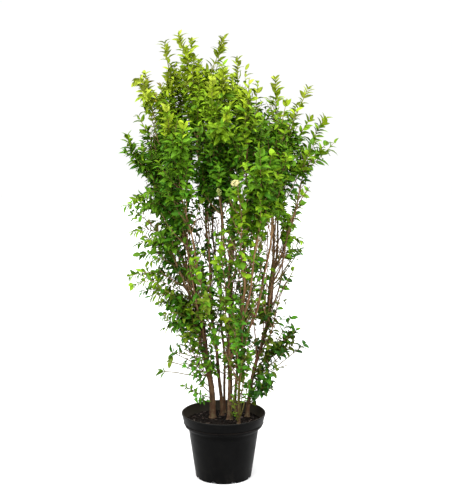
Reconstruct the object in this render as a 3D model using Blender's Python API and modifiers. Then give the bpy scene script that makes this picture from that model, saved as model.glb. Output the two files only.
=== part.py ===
# A common privet, a shrub of several stems from one root, in a black nursery pot of compost.
# Metres, +Z up. The origin is the middle of the pot's flat underside. +X is the right-hand side
# of the plant as it is seen from the front, and +Y is its back.
import math
import random

import bmesh
import bpy
import numpy as np
from mathutils import Matrix, Vector
from mathutils.bvhtree import BVHTree

UP = Vector((0.0, 0.0, 1.0))
GAP = 0.0003  # clearance between two neighbouring solids

# The pot: a thin moulded wall with a deep collar round its mouth.
POT_HEIGHT = 0.220
RIM_RADIUS = 0.140
COLLAR_DROP = 0.043  # from the rim down to the collar's lower edge
COLLAR_TAPER = 0.0105  # how much the collar narrows over that drop
COLLAR_STEP = 0.013  # how far the collar stands out from the wall below it
STEP_HEIGHT = 0.014  # height of the slope under the collar
BASE_RADIUS = 0.093
WALL = 0.0030
FLOOR = 0.0045
LIP = 0.0022  # the bead that stands up round the mouth
GROOVE = (0.056, 0.078, 0.0025)  # inner radius, outer radius and depth of the ring in the underside
COLLAR_LOW = POT_HEIGHT - COLLAR_DROP
WALL_TOP = COLLAR_LOW - STEP_HEIGHT
TURN_STEPS = 32  # faces round the pot and its compost
NOTCHES = 8  # drain notches round the foot
NOTCH_WIDTH = 0.014
NOTCH_HEIGHT = 0.0036
NOTCH_DEPTH = 0.012

# The compost that fills it.
SOIL_HEIGHT = 0.190
SOIL_CROWN = 0.004  # how much the middle is heaped up
SOIL_EDGE = 0.004  # how much the edge is rounded off
SOIL_GAP = 1.5 * GAP  # from the pot's wall, which slopes

# Stems. Each passes its foot, its waist and its shoulder, given as (right, back), and would end
# at its tip, given as (right, back, height). The bare stem ends at the height "bare", and the
# leafy leader goes on from there to the tip.
STEM_FOOT = SOIL_HEIGHT + SOIL_CROWN + GAP
WAIST_HEIGHT = 0.55
SHOULDER_HEIGHT = 0.95
STEMS = {
    "left": dict(foot=(-0.036, 0.020), waist=(-0.078, 0.033), shoulder=(-0.150, 0.050),
                 tip=(-0.188, 0.070, 1.443), radius=0.0098, bare=1.08),
    "inner_left": dict(foot=(-0.006, 0.048), waist=(-0.038, 0.020), shoulder=(-0.062, -0.006),
                       tip=(-0.134, -0.030, 1.471), radius=0.0062, bare=1.10),
    "slender": dict(foot=(0.004, 0.074), waist=(-0.008, 0.086), shoulder=(-0.050, 0.128),
                    tip=(-0.085, 0.165, 1.370), radius=0.0044, bare=1.02),
    "centre": dict(foot=(0.020, 0.000), waist=(0.021, 0.007), shoulder=(0.026, 0.018),
                   tip=(0.002, 0.034, 1.458), radius=0.0082, bare=1.12),
    "right": dict(foot=(0.079, 0.030), waist=(0.147, 0.028), shoulder=(0.166, 0.020),
                  tip=(0.167, 0.012, 1.330), radius=0.0068, bare=1.02),
    "front": dict(foot=(0.050, -0.046), waist=(0.062, -0.088), shoulder=(0.072, -0.128),
                  tip=(0.078, -0.150, 1.342), radius=0.0046, bare=0.96),
    "back": dict(foot=(0.040, 0.082), waist=(0.058, 0.118), shoulder=(0.092, 0.172),
                 tip=(0.112, 0.205, 1.310), radius=0.0052, bare=0.98),
    "back_left": dict(foot=(-0.042, 0.066), waist=(-0.098, 0.104), shoulder=(-0.165, 0.150),
                      tip=(-0.205, 0.190, 1.300), radius=0.0050, bare=0.95),
}

# Side limbs. Each leaves its carrier at a height, climbs at the angle "leave" and reaches its tip
# at the angle "arrive", both in degrees above the level. The share "bare" of it is a bough, and the
# rest is the stem of its foliage. With no bare share, the foliage starts at the carrier itself.
SIDE_LIMBS = {
    "crown_left": dict(carrier="left", height=0.640, tip=(-0.272, 0.030, 1.326),
                       leave=62, arrive=68, bare=0.38, radius=0.0048),
    "far_left": dict(carrier="left", height=0.790, tip=(-0.322, -0.020, 1.092),
                     leave=48, arrive=30, bare=0.34, radius=0.0036),
    "upper_left": dict(carrier="left", height=0.900, tip=(-0.290, 0.140, 1.200),
                       leave=50, arrive=50, bare=0.0, radius=0.0032),
    "front_left": dict(carrier="inner_left", height=0.520, tip=(-0.176, -0.196, 1.250),
                       leave=66, arrive=74, bare=0.42, radius=0.0042),
    "front_crown": dict(carrier="centre", height=0.633, tip=(-0.038, -0.182, 1.330),
                        leave=64, arrive=76, bare=0.36, radius=0.0042),
    "centre_right": dict(carrier="centre", height=0.400, tip=(0.196, -0.110, 1.262),
                         leave=50, arrive=78, bare=0.50, radius=0.0052),
    "centre_back": dict(carrier="centre", height=0.660, tip=(0.048, 0.112, 1.390),
                        leave=66, arrive=82, bare=0.40, radius=0.0040),
    "outer_right": dict(carrier="right", height=0.470, tip=(0.280, 0.090, 1.294),
                        leave=74, arrive=62, bare=0.44, radius=0.0046),
    "far_right": dict(carrier="right", height=0.700, tip=(0.336, -0.030, 1.126),
                      leave=50, arrive=46, bare=0.34, radius=0.0036),
    "upper_right": dict(carrier="back", height=0.800, tip=(0.296, 0.170, 1.190),
                        leave=46, arrive=54, bare=0.0, radius=0.0032),
    "low_right_crown": dict(carrier="right", height=0.640, tip=(0.280, -0.130, 1.000),
                            leave=46, arrive=42, bare=0.0, radius=0.0032),
    "back_right": dict(carrier="back", height=0.640, tip=(0.206, 0.246, 1.080),
                       leave=56, arrive=58, bare=0.36, radius=0.0036),
    "back_crown": dict(carrier="slender", height=0.600, tip=(-0.010, 0.262, 1.180),
                       leave=60, arrive=66, bare=0.40, radius=0.0034),
    "back_far_left": dict(carrier="back_left", height=0.640, tip=(-0.262, 0.206, 1.020),
                          leave=52, arrive=46, bare=0.30, radius=0.0034),
    "front_right": dict(carrier="front", height=0.560, tip=(0.150, -0.240, 1.110),
                        leave=58, arrive=64, bare=0.40, radius=0.0034),
    "front_centre": dict(carrier="front", height=0.660, tip=(0.040, -0.262, 1.040),
                         leave=56, arrive=56, bare=0.0, radius=0.0030),
    "middle_left": dict(carrier="left", height=0.560, tip=(-0.306, -0.032, 0.912),
                        leave=52, arrive=34, bare=0.0, radius=0.0030),
    "waist_left": dict(carrier="left", height=0.440, tip=(-0.296, 0.030, 0.690),
                       leave=48, arrive=26, bare=0.0, radius=0.0028),
    "middle_front": dict(carrier="inner_left", height=0.420, tip=(-0.108, -0.178, 0.800),
                         leave=56, arrive=52, bare=0.0, radius=0.0026),
    "waist_front": dict(carrier="centre", height=0.450, tip=(-0.010, -0.186, 0.810),
                        leave=56, arrive=52, bare=0.0, radius=0.0026),
    "middle_right": dict(carrier="right", height=0.560, tip=(0.258, 0.036, 0.890),
                         leave=44, arrive=48, bare=0.0, radius=0.0030),
    "waist_right": dict(carrier="right", height=0.400, tip=(0.236, -0.050, 0.726),
                        leave=54, arrive=58, bare=0.0, radius=0.0028),
    "middle_back": dict(carrier="back", height=0.440, tip=(0.150, 0.216, 0.800),
                        leave=46, arrive=50, bare=0.0, radius=0.0028),
    "waist_back": dict(carrier="back_left", height=0.400, tip=(-0.160, 0.206, 0.760),
                       leave=56, arrive=50, bare=0.0, radius=0.0028),
    "low_left": dict(carrier="left", height=0.330, tip=(-0.200, -0.020, 0.548),
                     leave=40, arrive=36, bare=0.0, radius=0.0024),
    "foot_left": dict(carrier="left", height=0.262, tip=(-0.198, 0.010, 0.345),
                      leave=22, arrive=16, bare=0.0, radius=0.0020),
    "low_front": dict(carrier="front", height=0.360, tip=(0.024, -0.170, 0.620),
                      leave=54, arrive=52, bare=0.0, radius=0.0024),
    "low_right": dict(carrier="right", height=0.300, tip=(0.252, 0.010, 0.500),
                      leave=40, arrive=34, bare=0.0, radius=0.0024),
    "low_back": dict(carrier="back", height=0.300, tip=(0.060, 0.190, 0.560),
                     leave=52, arrive=50, bare=0.0, radius=0.0024),
    "foot_right": dict(carrier="right", height=0.232, tip=(0.172, -0.040, 0.318),
                       leave=34, arrive=22, bare=0.0, radius=0.0020),
}

# Limbs: how they taper, flare and sway.
TIP_RADIUS = 0.0012
TAPER_POWER = 0.85
THICK_STEM = 0.006  # stems over this radius have eight faces round them, and the others six
ROOT_FLARE = 0.30  # the foot is wider than the stem above it by this share
FLARE_HEIGHT = 0.030
SWAY = 0.0035  # a limb wanders to each side by this much
SWAY_LENGTH = 0.26
SWAY_STEP = 1.7  # the wandering starts at another point on each limb
STRAIGHT_END = 0.004  # the last stretch of a cut limb is straight, so that cut faces are parallel
CUT_MARGIN = 1.2 * GAP
PATH_SAMPLES = 48
STEM_POINTS = 8
BOUGH_POINTS = 5

# Foliage: opposite twigs, then opposite leaves, each pair a quarter turn from the one below.
STEM_FACETS = 3
BARE_FOOT = 0.12  # the lowest part of a foliage stem, which has no leaves
TWIG_REACH = 0.66  # side twigs stand on this share of a foliage stem, counted from its foot
TWIG_GAP = 0.100  # between one pair of side twigs and the next
TWIG_LENGTH = 0.130
TWIG_SHARE = 0.8  # a side twig's radius, as a share of the stem's where it leaves it
TWIG_TIP = 0.0010
TWIG_ANGLE = math.radians(48)
TWIG_LIFT = 0.55  # how much a side twig turns up
FIRST_LEAF = 0.40  # where along a side twig its lowest leaves are
SUNK_TIP = 0.003  # the last leaves of a twig stand this far inside its tip
CLEAR_ROOT = 0.007  # a leaf or twig is tried for room from this far out of the twig it grows from
LEAF_GAP = 0.066
LEAF_LENGTH = 0.102
TIP_LEAF = 0.58  # size of the last pair of a twig, as a share of the others'
TIP_REACH = 0.042  # that pair reaches this far past the twig's own end
LEAF_WIDTH = 0.45  # share of its length
LEAF_THICKNESS = 0.030  # share of its length
LEAF_FOLD = 0.14  # how far the edges rise, as a share of the width
LEAF_BELLY = 0.44  # where along the leaf it is widest
LEAF_DROOP = 0.10
LEAF_SPREAD = math.radians(62)  # between leaf and twig, low on the twig
LEAF_CLOSING = math.radians(24)  # how much less it is at the tip
LEAF_TURNS = (0.0, 0.45, -0.45)  # turns of a leaf round its twig that are tried, in radians
FACE_UP = 0.8  # how much the upper sides turn to the sky
LOW_CROWN = 0.62  # below this height leaves and twigs are smaller
LOW_LEAF = 0.76
SPACE_MARGIN = 0.0012  # a twig or leaf stays this far inside the space of its own foliage
SPACE_LINE = 8  # straight stretches that stand for a foliage stem when spaces are told apart
LIMB_MARGIN = 0.0006
OWN_MARGIN = 0.0004

# Blossom: cream heads on a short stalk, part of the way along the foliage's stem, each pointing
# toward the given (right, back, up).
BLOSSOMS = {
    "front_centre": dict(part_way=0.88, toward=(-0.1, -0.8, 0.6), length=0.036, width=0.026),
    "front_crown": dict(part_way=0.10, toward=(-0.2, -1.0, 0.0), length=0.024, width=0.018),
}
BLOSSOM_STALK = 0.026

# Colours in linear light, with a roughness.
BARK = ((0.105, 0.070, 0.045), 0.80)
YOUNG_BARK = ((0.130, 0.110, 0.050), 0.70)
BRIGHT_LEAF = ((0.250, 0.370, 0.030), 0.45)
GREEN_LEAF = ((0.085, 0.210, 0.020), 0.45)
DARK_LEAF = ((0.030, 0.105, 0.012), 0.42)
POT_PLASTIC = ((0.016, 0.017, 0.018), 0.42)
COMPOST = ((0.030, 0.018, 0.011), 0.95)


# The scene and its materials

def clear_scene():
    for item in list(bpy.data.objects):
        bpy.data.objects.remove(item)


def move_to(item, collection, helper=True):
    """Puts the object in this collection alone. A helper isn't rendered."""
    for home in list(item.users_collection):
        home.objects.unlink(item)
    collection.objects.link(item)
    item.hide_render = helper
    item.display_type = "WIRE" if helper else "TEXTURED"


def new_collection(name):
    made = bpy.data.collections.new(name)
    bpy.context.scene.collection.children.link(made)
    return made


def finish_of(name, finish):
    colour, roughness = finish
    material = bpy.data.materials.new(name)
    material.use_nodes = True
    shader = material.node_tree.nodes["Principled BSDF"]
    shader.inputs["Base Color"].default_value = (*colour, 1.0)
    shader.inputs["Roughness"].default_value = roughness
    shader.inputs["Metallic"].default_value = 0.0
    material.diffuse_color = (*colour, 1.0)
    return material


def smooth(mesh, degrees=40):
    mesh.shade_smooth()
    mesh.set_sharp_from_angle(angle=math.radians(degrees))


# Paths: where a limb runs

class Path:
    """A line through points, read by the share of its length."""

    def __init__(self, points):
        self.points = points
        self.reach = [0.0]
        for a, b in zip(points, points[1:]):
            self.reach.append(self.reach[-1] + (b - a).length)
        self.length = self.reach[-1]

    def at(self, share):
        want = min(max(share, 0.0), 1.0) * self.length
        k = 1
        while k < len(self.reach) - 1 and self.reach[k] < want:
            k += 1
        a, b = self.points[k - 1], self.points[k]
        part = (want - self.reach[k - 1]) / (self.reach[k] - self.reach[k - 1])
        return a.lerp(b, part)

    def along(self, share, step=0.02):
        low, high = max(share - step, 0.0), min(share + step, 1.0)
        return (self.at(high) - self.at(low)).normalized()

    def share_at_height(self, height):
        for k in range(1, len(self.points)):
            a, b = self.points[k - 1], self.points[k]
            if a.z <= height <= b.z:
                part = (height - a.z) / (b.z - a.z)
                return (self.reach[k - 1] + part * (b - a).length) / self.length
        raise ValueError(f"no point at {height}")


def hermite(a, b, slope_a, slope_b, part, run):
    """The value of a cubic from a to b over the run, with these slopes at its ends."""
    t2, t3 = part * part, part ** 3
    return ((2 * t3 - 3 * t2 + 1) * a + (t3 - 2 * t2 + part) * run * slope_a
            + (3 * t2 - 2 * t3) * b + (t3 - t2) * run * slope_b)


def stem_path(stem, phase):
    """Foot, waist, shoulder and tip, joined by cubics over the height, upright at the foot."""
    top = stem["tip"][2] - TIP_REACH
    heights = (STEM_FOOT, WAIST_HEIGHT, SHOULDER_HEIGHT, top)
    knots = [Vector(stem[key][:2]) for key in ("foot", "waist", "shoulder", "tip")]
    slopes = [Vector((0.0, 0.0))]
    for k in (1, 2):
        slopes.append((knots[k + 1] - knots[k - 1]) / (heights[k + 1] - heights[k - 1]))
    slopes.append((knots[3] - knots[2]) / (heights[3] - heights[2]))
    points = []
    for n in range(PATH_SAMPLES + 1):
        height = STEM_FOOT + (top - STEM_FOOT) * n / PATH_SAMPLES
        k = sum(height > mark for mark in heights[1:3])
        run = heights[k + 1] - heights[k]
        part = (height - heights[k]) / run
        place = hermite(knots[k], knots[k + 1], slopes[k], slopes[k + 1], part, run)
        points.append(Vector((place.x, place.y, height)))
    return Path(swayed(points, phase))


def side_path(limb, carrier, phase):
    """A cubic curve from the carrier's axis out and up to the tip."""
    start = carrier.at(carrier.share_at_height(limb["height"]))
    tip = Vector(limb["tip"])
    out = Vector((tip.x - start.x, tip.y - start.y, 0.0)).normalized()
    leave, arrive = (math.radians(limb[key]) for key in ("leave", "arrive"))
    arriving = out * math.cos(arrive) + UP * math.sin(arrive)
    tip -= arriving * TIP_REACH
    handle = 0.36 * (tip - start).length
    first = start + handle * (out * math.cos(leave) + UP * math.sin(leave))
    last = tip - handle * arriving
    points = []
    for n in range(PATH_SAMPLES + 1):
        t = n / PATH_SAMPLES
        points.append(start * (1 - t) ** 3 + first * 3 * t * (1 - t) ** 2
                      + last * 3 * t * t * (1 - t) + tip * t ** 3)
    return Path(swayed(points, phase))


def swayed(points, phase):
    """The points moved a little to each side, not at all at either end."""
    moved = []
    travelled = 0.0
    for n, point in enumerate(points):
        if n:
            travelled += (point - points[n - 1]).length
        hold = math.sin(math.pi * n / (len(points) - 1)) ** 0.5
        turn = 2 * math.pi * travelled / SWAY_LENGTH
        offset = Vector((math.sin(turn + phase), math.sin(0.8 * turn + 2.1 * phase), 0.0))
        moved.append(point + SWAY * hold * offset)
    return moved


def limb_radius(foot_radius, share):
    return TIP_RADIUS + (foot_radius - TIP_RADIUS) * (1 - share) ** TAPER_POWER


# Tubes

def tube(name, points, radii, resolution=1, section=None):
    """A tapering tube with flat ends: round, or with the outline of the given section."""
    curve = bpy.data.curves.new(name, "CURVE")
    curve.dimensions = "3D"
    curve.use_fill_caps = True
    curve.bevel_resolution = resolution
    if section:
        curve.bevel_mode = "OBJECT"
        curve.bevel_object = section
    else:
        curve.bevel_depth = 1.0
    spline = curve.splines.new("POLY")
    spline.points.add(len(points) - 1)
    for knot, point, radius in zip(spline.points, points, radii):
        knot.co = (*point, 1.0)
        knot.radius = radius
    made = bpy.data.objects.new(name, curve)
    bpy.context.scene.collection.objects.link(made)
    return made


def as_mesh(made, home):
    """The curve object made a closed mesh object, in the given collection."""
    bpy.context.view_layer.update()
    graph = bpy.context.evaluated_depsgraph_get()
    mesh = bpy.data.meshes.new_from_object(made.evaluated_get(graph))
    mesh.transform(made.matrix_world)
    cage = bmesh.new()
    cage.from_mesh(mesh)
    bmesh.ops.remove_doubles(cage, verts=cage.verts, dist=1e-6)
    bmesh.ops.recalc_face_normals(cage, faces=cage.faces)
    cage.to_mesh(mesh)
    cage.free()
    name = made.name
    bpy.data.objects.remove(made)
    mesh_object = bpy.data.objects.new(name, mesh)
    home.objects.link(mesh_object)
    return mesh_object


def three_sided_section():
    """A triangle of unit radius, the outline of a twig."""
    curve = bpy.data.curves.new("twig_section", "CURVE")
    spline = curve.splines.new("POLY")
    spline.points.add(2)
    spline.use_cyclic_u = True
    for k, knot in enumerate(spline.points):
        angle = -2 * math.pi * k / 3
        knot.co = (math.cos(angle), math.sin(angle), 0.0, 1.0)
    made = bpy.data.objects.new("twig_section", curve)
    move_to(made, guides)
    return made


def boolean(target, operation, other, solver="EXACT"):
    """Applies one Boolean and keeps the largest closed shell, with no scrap and no sealed hollow."""
    modifier = target.modifiers.new(operation.lower(), "BOOLEAN")
    modifier.operation = operation
    modifier.solver = solver
    if isinstance(other, bpy.types.Collection):
        modifier.operand_type = "COLLECTION"
        modifier.collection = other
    else:
        modifier.object = other
    bpy.context.view_layer.update()
    graph = bpy.context.evaluated_depsgraph_get()
    mesh = bpy.data.meshes.new_from_object(target.evaluated_get(graph))
    target.modifiers.clear()
    target.data = mesh
    cage = bmesh.new()
    cage.from_mesh(mesh)
    shells = shells_of(cage)
    keep = max(shells, key=len)
    loose = [vert for shell in shells if shell is not keep for vert in shell]
    bmesh.ops.delete(cage, geom=loose, context="VERTS")
    cage.to_mesh(mesh)
    cage.free()
    return len(shells) - 1


def shells_of(cage):
    """The vertices of the cage, shell by shell."""
    left = set(cage.verts)
    shells = []
    while left:
        shell, front = set(), [left.pop()]
        while front:
            vert = front.pop()
            shell.add(vert)
            for edge in vert.link_edges:
                other = edge.other_vert(vert)
                if other in left:
                    left.discard(other)
                    front.append(other)
        shells.append(shell)
    return shells


# The pot and its compost

def turned(name, profile):
    """A profile of (radius, height) pairs turned about the upright axis."""
    mesh = bpy.data.meshes.new(name)
    cage = bmesh.new()
    verts = [cage.verts.new((radius, 0.0, height)) for radius, height in profile]
    for a, b in zip(verts, verts[1:]):
        cage.edges.new((a, b))
    cage.to_mesh(mesh)
    cage.free()
    made = bpy.data.objects.new(name, mesh)
    part.objects.link(made)
    screw = made.modifiers.new("turn", "SCREW")
    screw.steps = screw.render_steps = TURN_STEPS
    screw.use_merge_vertices = True
    screw.merge_threshold = 1e-5
    return made


def wall_radius(height):
    """Outer radius of the pot's wall below the collar."""
    top_radius = RIM_RADIUS - COLLAR_TAPER - COLLAR_STEP
    return BASE_RADIUS + (top_radius - BASE_RADIUS) * height / WALL_TOP


def make_pot():
    groove_in, groove_out, groove_deep = GROOVE
    inside = [
        (0.0, FLOOR),
        (wall_radius(FLOOR) - WALL, FLOOR),
        (wall_radius(WALL_TOP) - WALL, WALL_TOP),
        (RIM_RADIUS - COLLAR_TAPER - WALL, COLLAR_LOW),
        (RIM_RADIUS - 2 * LIP, POT_HEIGHT - LIP),
    ]
    outside = [
        (RIM_RADIUS - 1.5 * LIP, POT_HEIGHT),
        (RIM_RADIUS - 0.5 * LIP, POT_HEIGHT),
        (RIM_RADIUS, POT_HEIGHT - LIP),
        (RIM_RADIUS - COLLAR_TAPER, COLLAR_LOW),
        (wall_radius(WALL_TOP), WALL_TOP),
        (BASE_RADIUS, LIP),
        (BASE_RADIUS - LIP, 0.0),
    ]
    underside = [
        (groove_out, 0.0),
        (groove_out, groove_deep),
        (groove_in, groove_deep),
        (groove_in, 0.0),
        (0.0, 0.0),
    ]
    pot = turned("pot", inside + outside + underside)
    pot.data.materials.append(finish_of("pot_plastic", POT_PLASTIC))
    for k in range(NOTCHES):
        notch = notch_cutter(f"notch_{k + 1}", 2 * math.pi * (k + 0.5) / NOTCHES)
        cut = pot.modifiers.new(notch.name, "BOOLEAN")
        cut.operation = "DIFFERENCE"
        cut.object = notch
    return inside


def notch_cutter(name, turn):
    bpy.ops.mesh.primitive_cube_add(size=1.0)
    notch = bpy.context.object
    notch.name = name
    notch.scale = (2 * NOTCH_DEPTH, NOTCH_WIDTH, 2 * NOTCH_HEIGHT)
    notch.rotation_euler = (0.0, 0.0, turn)
    notch.location = (BASE_RADIUS * math.cos(turn), BASE_RADIUS * math.sin(turn), 0.0)
    move_to(notch, cutters)
    return notch


def make_soil(inside):
    """Compost from the pot's floor up to a slightly heaped top, clear of the wall all round."""
    (low_radius, low), (high_radius, high) = inside[3], inside[4]
    edge = SOIL_HEIGHT - SOIL_EDGE
    edge_radius = low_radius + (high_radius - low_radius) * (edge - low) / (high - low)
    profile = [
        (0.0, SOIL_HEIGHT + SOIL_CROWN),
        (0.6 * edge_radius, SOIL_HEIGHT + SOIL_CROWN),
        (edge_radius - SOIL_EDGE, SOIL_HEIGHT),
        (edge_radius - SOIL_GAP, edge),
    ]
    profile += [(radius - SOIL_GAP, height) for radius, height in inside[3:0:-1]]
    profile[-1] = (profile[-1][0], FLOOR + GAP)
    profile.append((0.0, FLOOR + GAP))
    soil = turned("soil", profile)
    soil.data.materials.append(finish_of("compost", COMPOST))


# Stems and boughs

def end_stretch(path, share, side):
    """A limb's cut face, half a gap to this side of the share, and the point where the straight
    stretch behind it ends."""
    middle, direction = path.at(share), path.along(share)
    return middle + side * direction * GAP / 2, middle + side * direction * STRAIGHT_END


def stem_line(stem, path):
    """The points and radii of a bare stem, from its flat foot to its cut end."""
    end = path.share_at_height(stem["bare"])
    foot = path.points[0]
    rises = (0.4 * FLARE_HEIGHT, FLARE_HEIGHT)
    low = [path.share_at_height(STEM_FOOT + rise) for rise in rises]
    middle = [end * k / (STEM_POINTS - 1) for k in range(1, STEM_POINTS - 1)]
    face, before = end_stretch(path, end, -1)
    points = [foot, foot + UP * rises[0]] + [path.at(share) for share in low[1:] + middle]
    points += [before, face]
    radii = []
    for share in [0.0] + low + middle + [end, end]:
        rise = path.at(share).z - STEM_FOOT
        flare = 1 + ROOT_FLARE * max(0.0, 1 - rise / FLARE_HEIGHT) ** 2
        radii.append(limb_radius(stem["radius"], share) * flare)
    return points, radii


def make_stem(name, stem, path):
    """The stem, and the shape that keeps its neighbours clear of it."""
    points, radii = stem_line(stem, path)
    resolution = 2 if stem["radius"] > THICK_STEM else 1
    made = tube(f"stem_{name}", points, radii, resolution)
    move_to(made, part, helper=False)
    made.data.materials.append(finish_of(f"bark_{name}", BARK))
    wide = [radius + CUT_MARGIN for radius in radii]
    clearance = as_mesh(tube(f"clearance_{name}", points, wide, resolution), cutters)
    move_to(clearance, cutters)
    return clearance


def make_bough(name, limb, path, clearance):
    """The bare share of a side limb, its foot shaped to the stem that carries it."""
    share = limb["bare"]
    shares = [share * k / (BOUGH_POINTS - 1) for k in range(BOUGH_POINTS - 1)]
    face, before = end_stretch(path, share, -1)
    points = [path.at(s) for s in shares] + [before, face]
    radii = [limb_radius(limb["radius"], s) for s in shares + [share, share]]
    made = as_mesh(tube(f"bough_{name}", points, radii), part)
    boolean(made, "DIFFERENCE", clearance)
    made.data.materials.append(finish_of(f"bough_bark_{name}", YOUNG_BARK))
    smooth(made.data)
    return made


# Foliage

def solid_tree(mesh, grow=0.0):
    """A search tree of the mesh, moved out along its normals by the given amount."""
    points = [vert.co + vert.normal * grow for vert in mesh.vertices]
    return BVHTree.FromPolygons(points, [tuple(face.vertices) for face in mesh.polygons])


class Spaces:
    """The space of each foliage: all points nearer to its own stem than to any other's."""

    def __init__(self, lines):
        self.names = list(lines)
        starts, runs, owners = [], [], []
        for k, name in enumerate(self.names):
            for a, b in zip(lines[name], lines[name][1:]):
                starts.append(a)
                runs.append(b - a)
                owners.append(k)
        self.starts = np.array(starts)
        self.runs = np.array(runs)
        self.owners = np.array(owners)
        self.squares = (self.runs ** 2).sum(axis=1)

    def holds(self, name, points):
        own = self.owners == self.names.index(name)
        for point in points:
            away = np.array(point) - self.starts
            part_way = np.clip((away * self.runs).sum(axis=1) / self.squares, 0.0, 1.0)
            distance = np.linalg.norm(away - part_way[:, None] * self.runs, axis=1)
            if distance[own].min() + SPACE_MARGIN > distance[~own].min():
                return False
        return True


def leaf_mesh(root, direction, face, length):
    """A folded leaf of eight faces: a ball of six points, drawn out to a pointed blade."""
    across = face.cross(direction).normalized()
    face = direction.cross(across)
    width, thickness = LEAF_WIDTH * length, LEAF_THICKNESS * length
    cage = bmesh.new()
    bmesh.ops.create_uvsphere(cage, u_segments=4, v_segments=2, radius=1.0)
    for vert in cage.verts:
        side, level, end = vert.co
        if abs(end) > 0.5:
            along = length * (end + 1) / 2
            vert.co = root + direction * along - face * LEAF_DROOP * along
        else:
            rise = abs(side) * LEAF_FOLD * width + level * thickness / 2
            vert.co = root + direction * LEAF_BELLY * length + across * side * width / 2 + face * rise
    mesh = bpy.data.meshes.new("leaf")
    cage.to_mesh(mesh)
    cage.free()
    return mesh


def turned_aside(direction, roll, angle):
    """The direction bent away by the angle, towards the side that the roll gives."""
    side = Matrix.Rotation(roll, 3, direction) @ direction.orthogonal().normalized()
    return (direction * math.cos(angle) + side * math.sin(angle)).normalized()


def twig_points(root, direction, length):
    """Root, middle and tip of a short twig that leaves in the direction and then turns up."""
    bend = (direction + UP * TWIG_LIFT).normalized()
    middle = root + direction * length / 2
    return [root, middle, middle + bend * length / 2]


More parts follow.
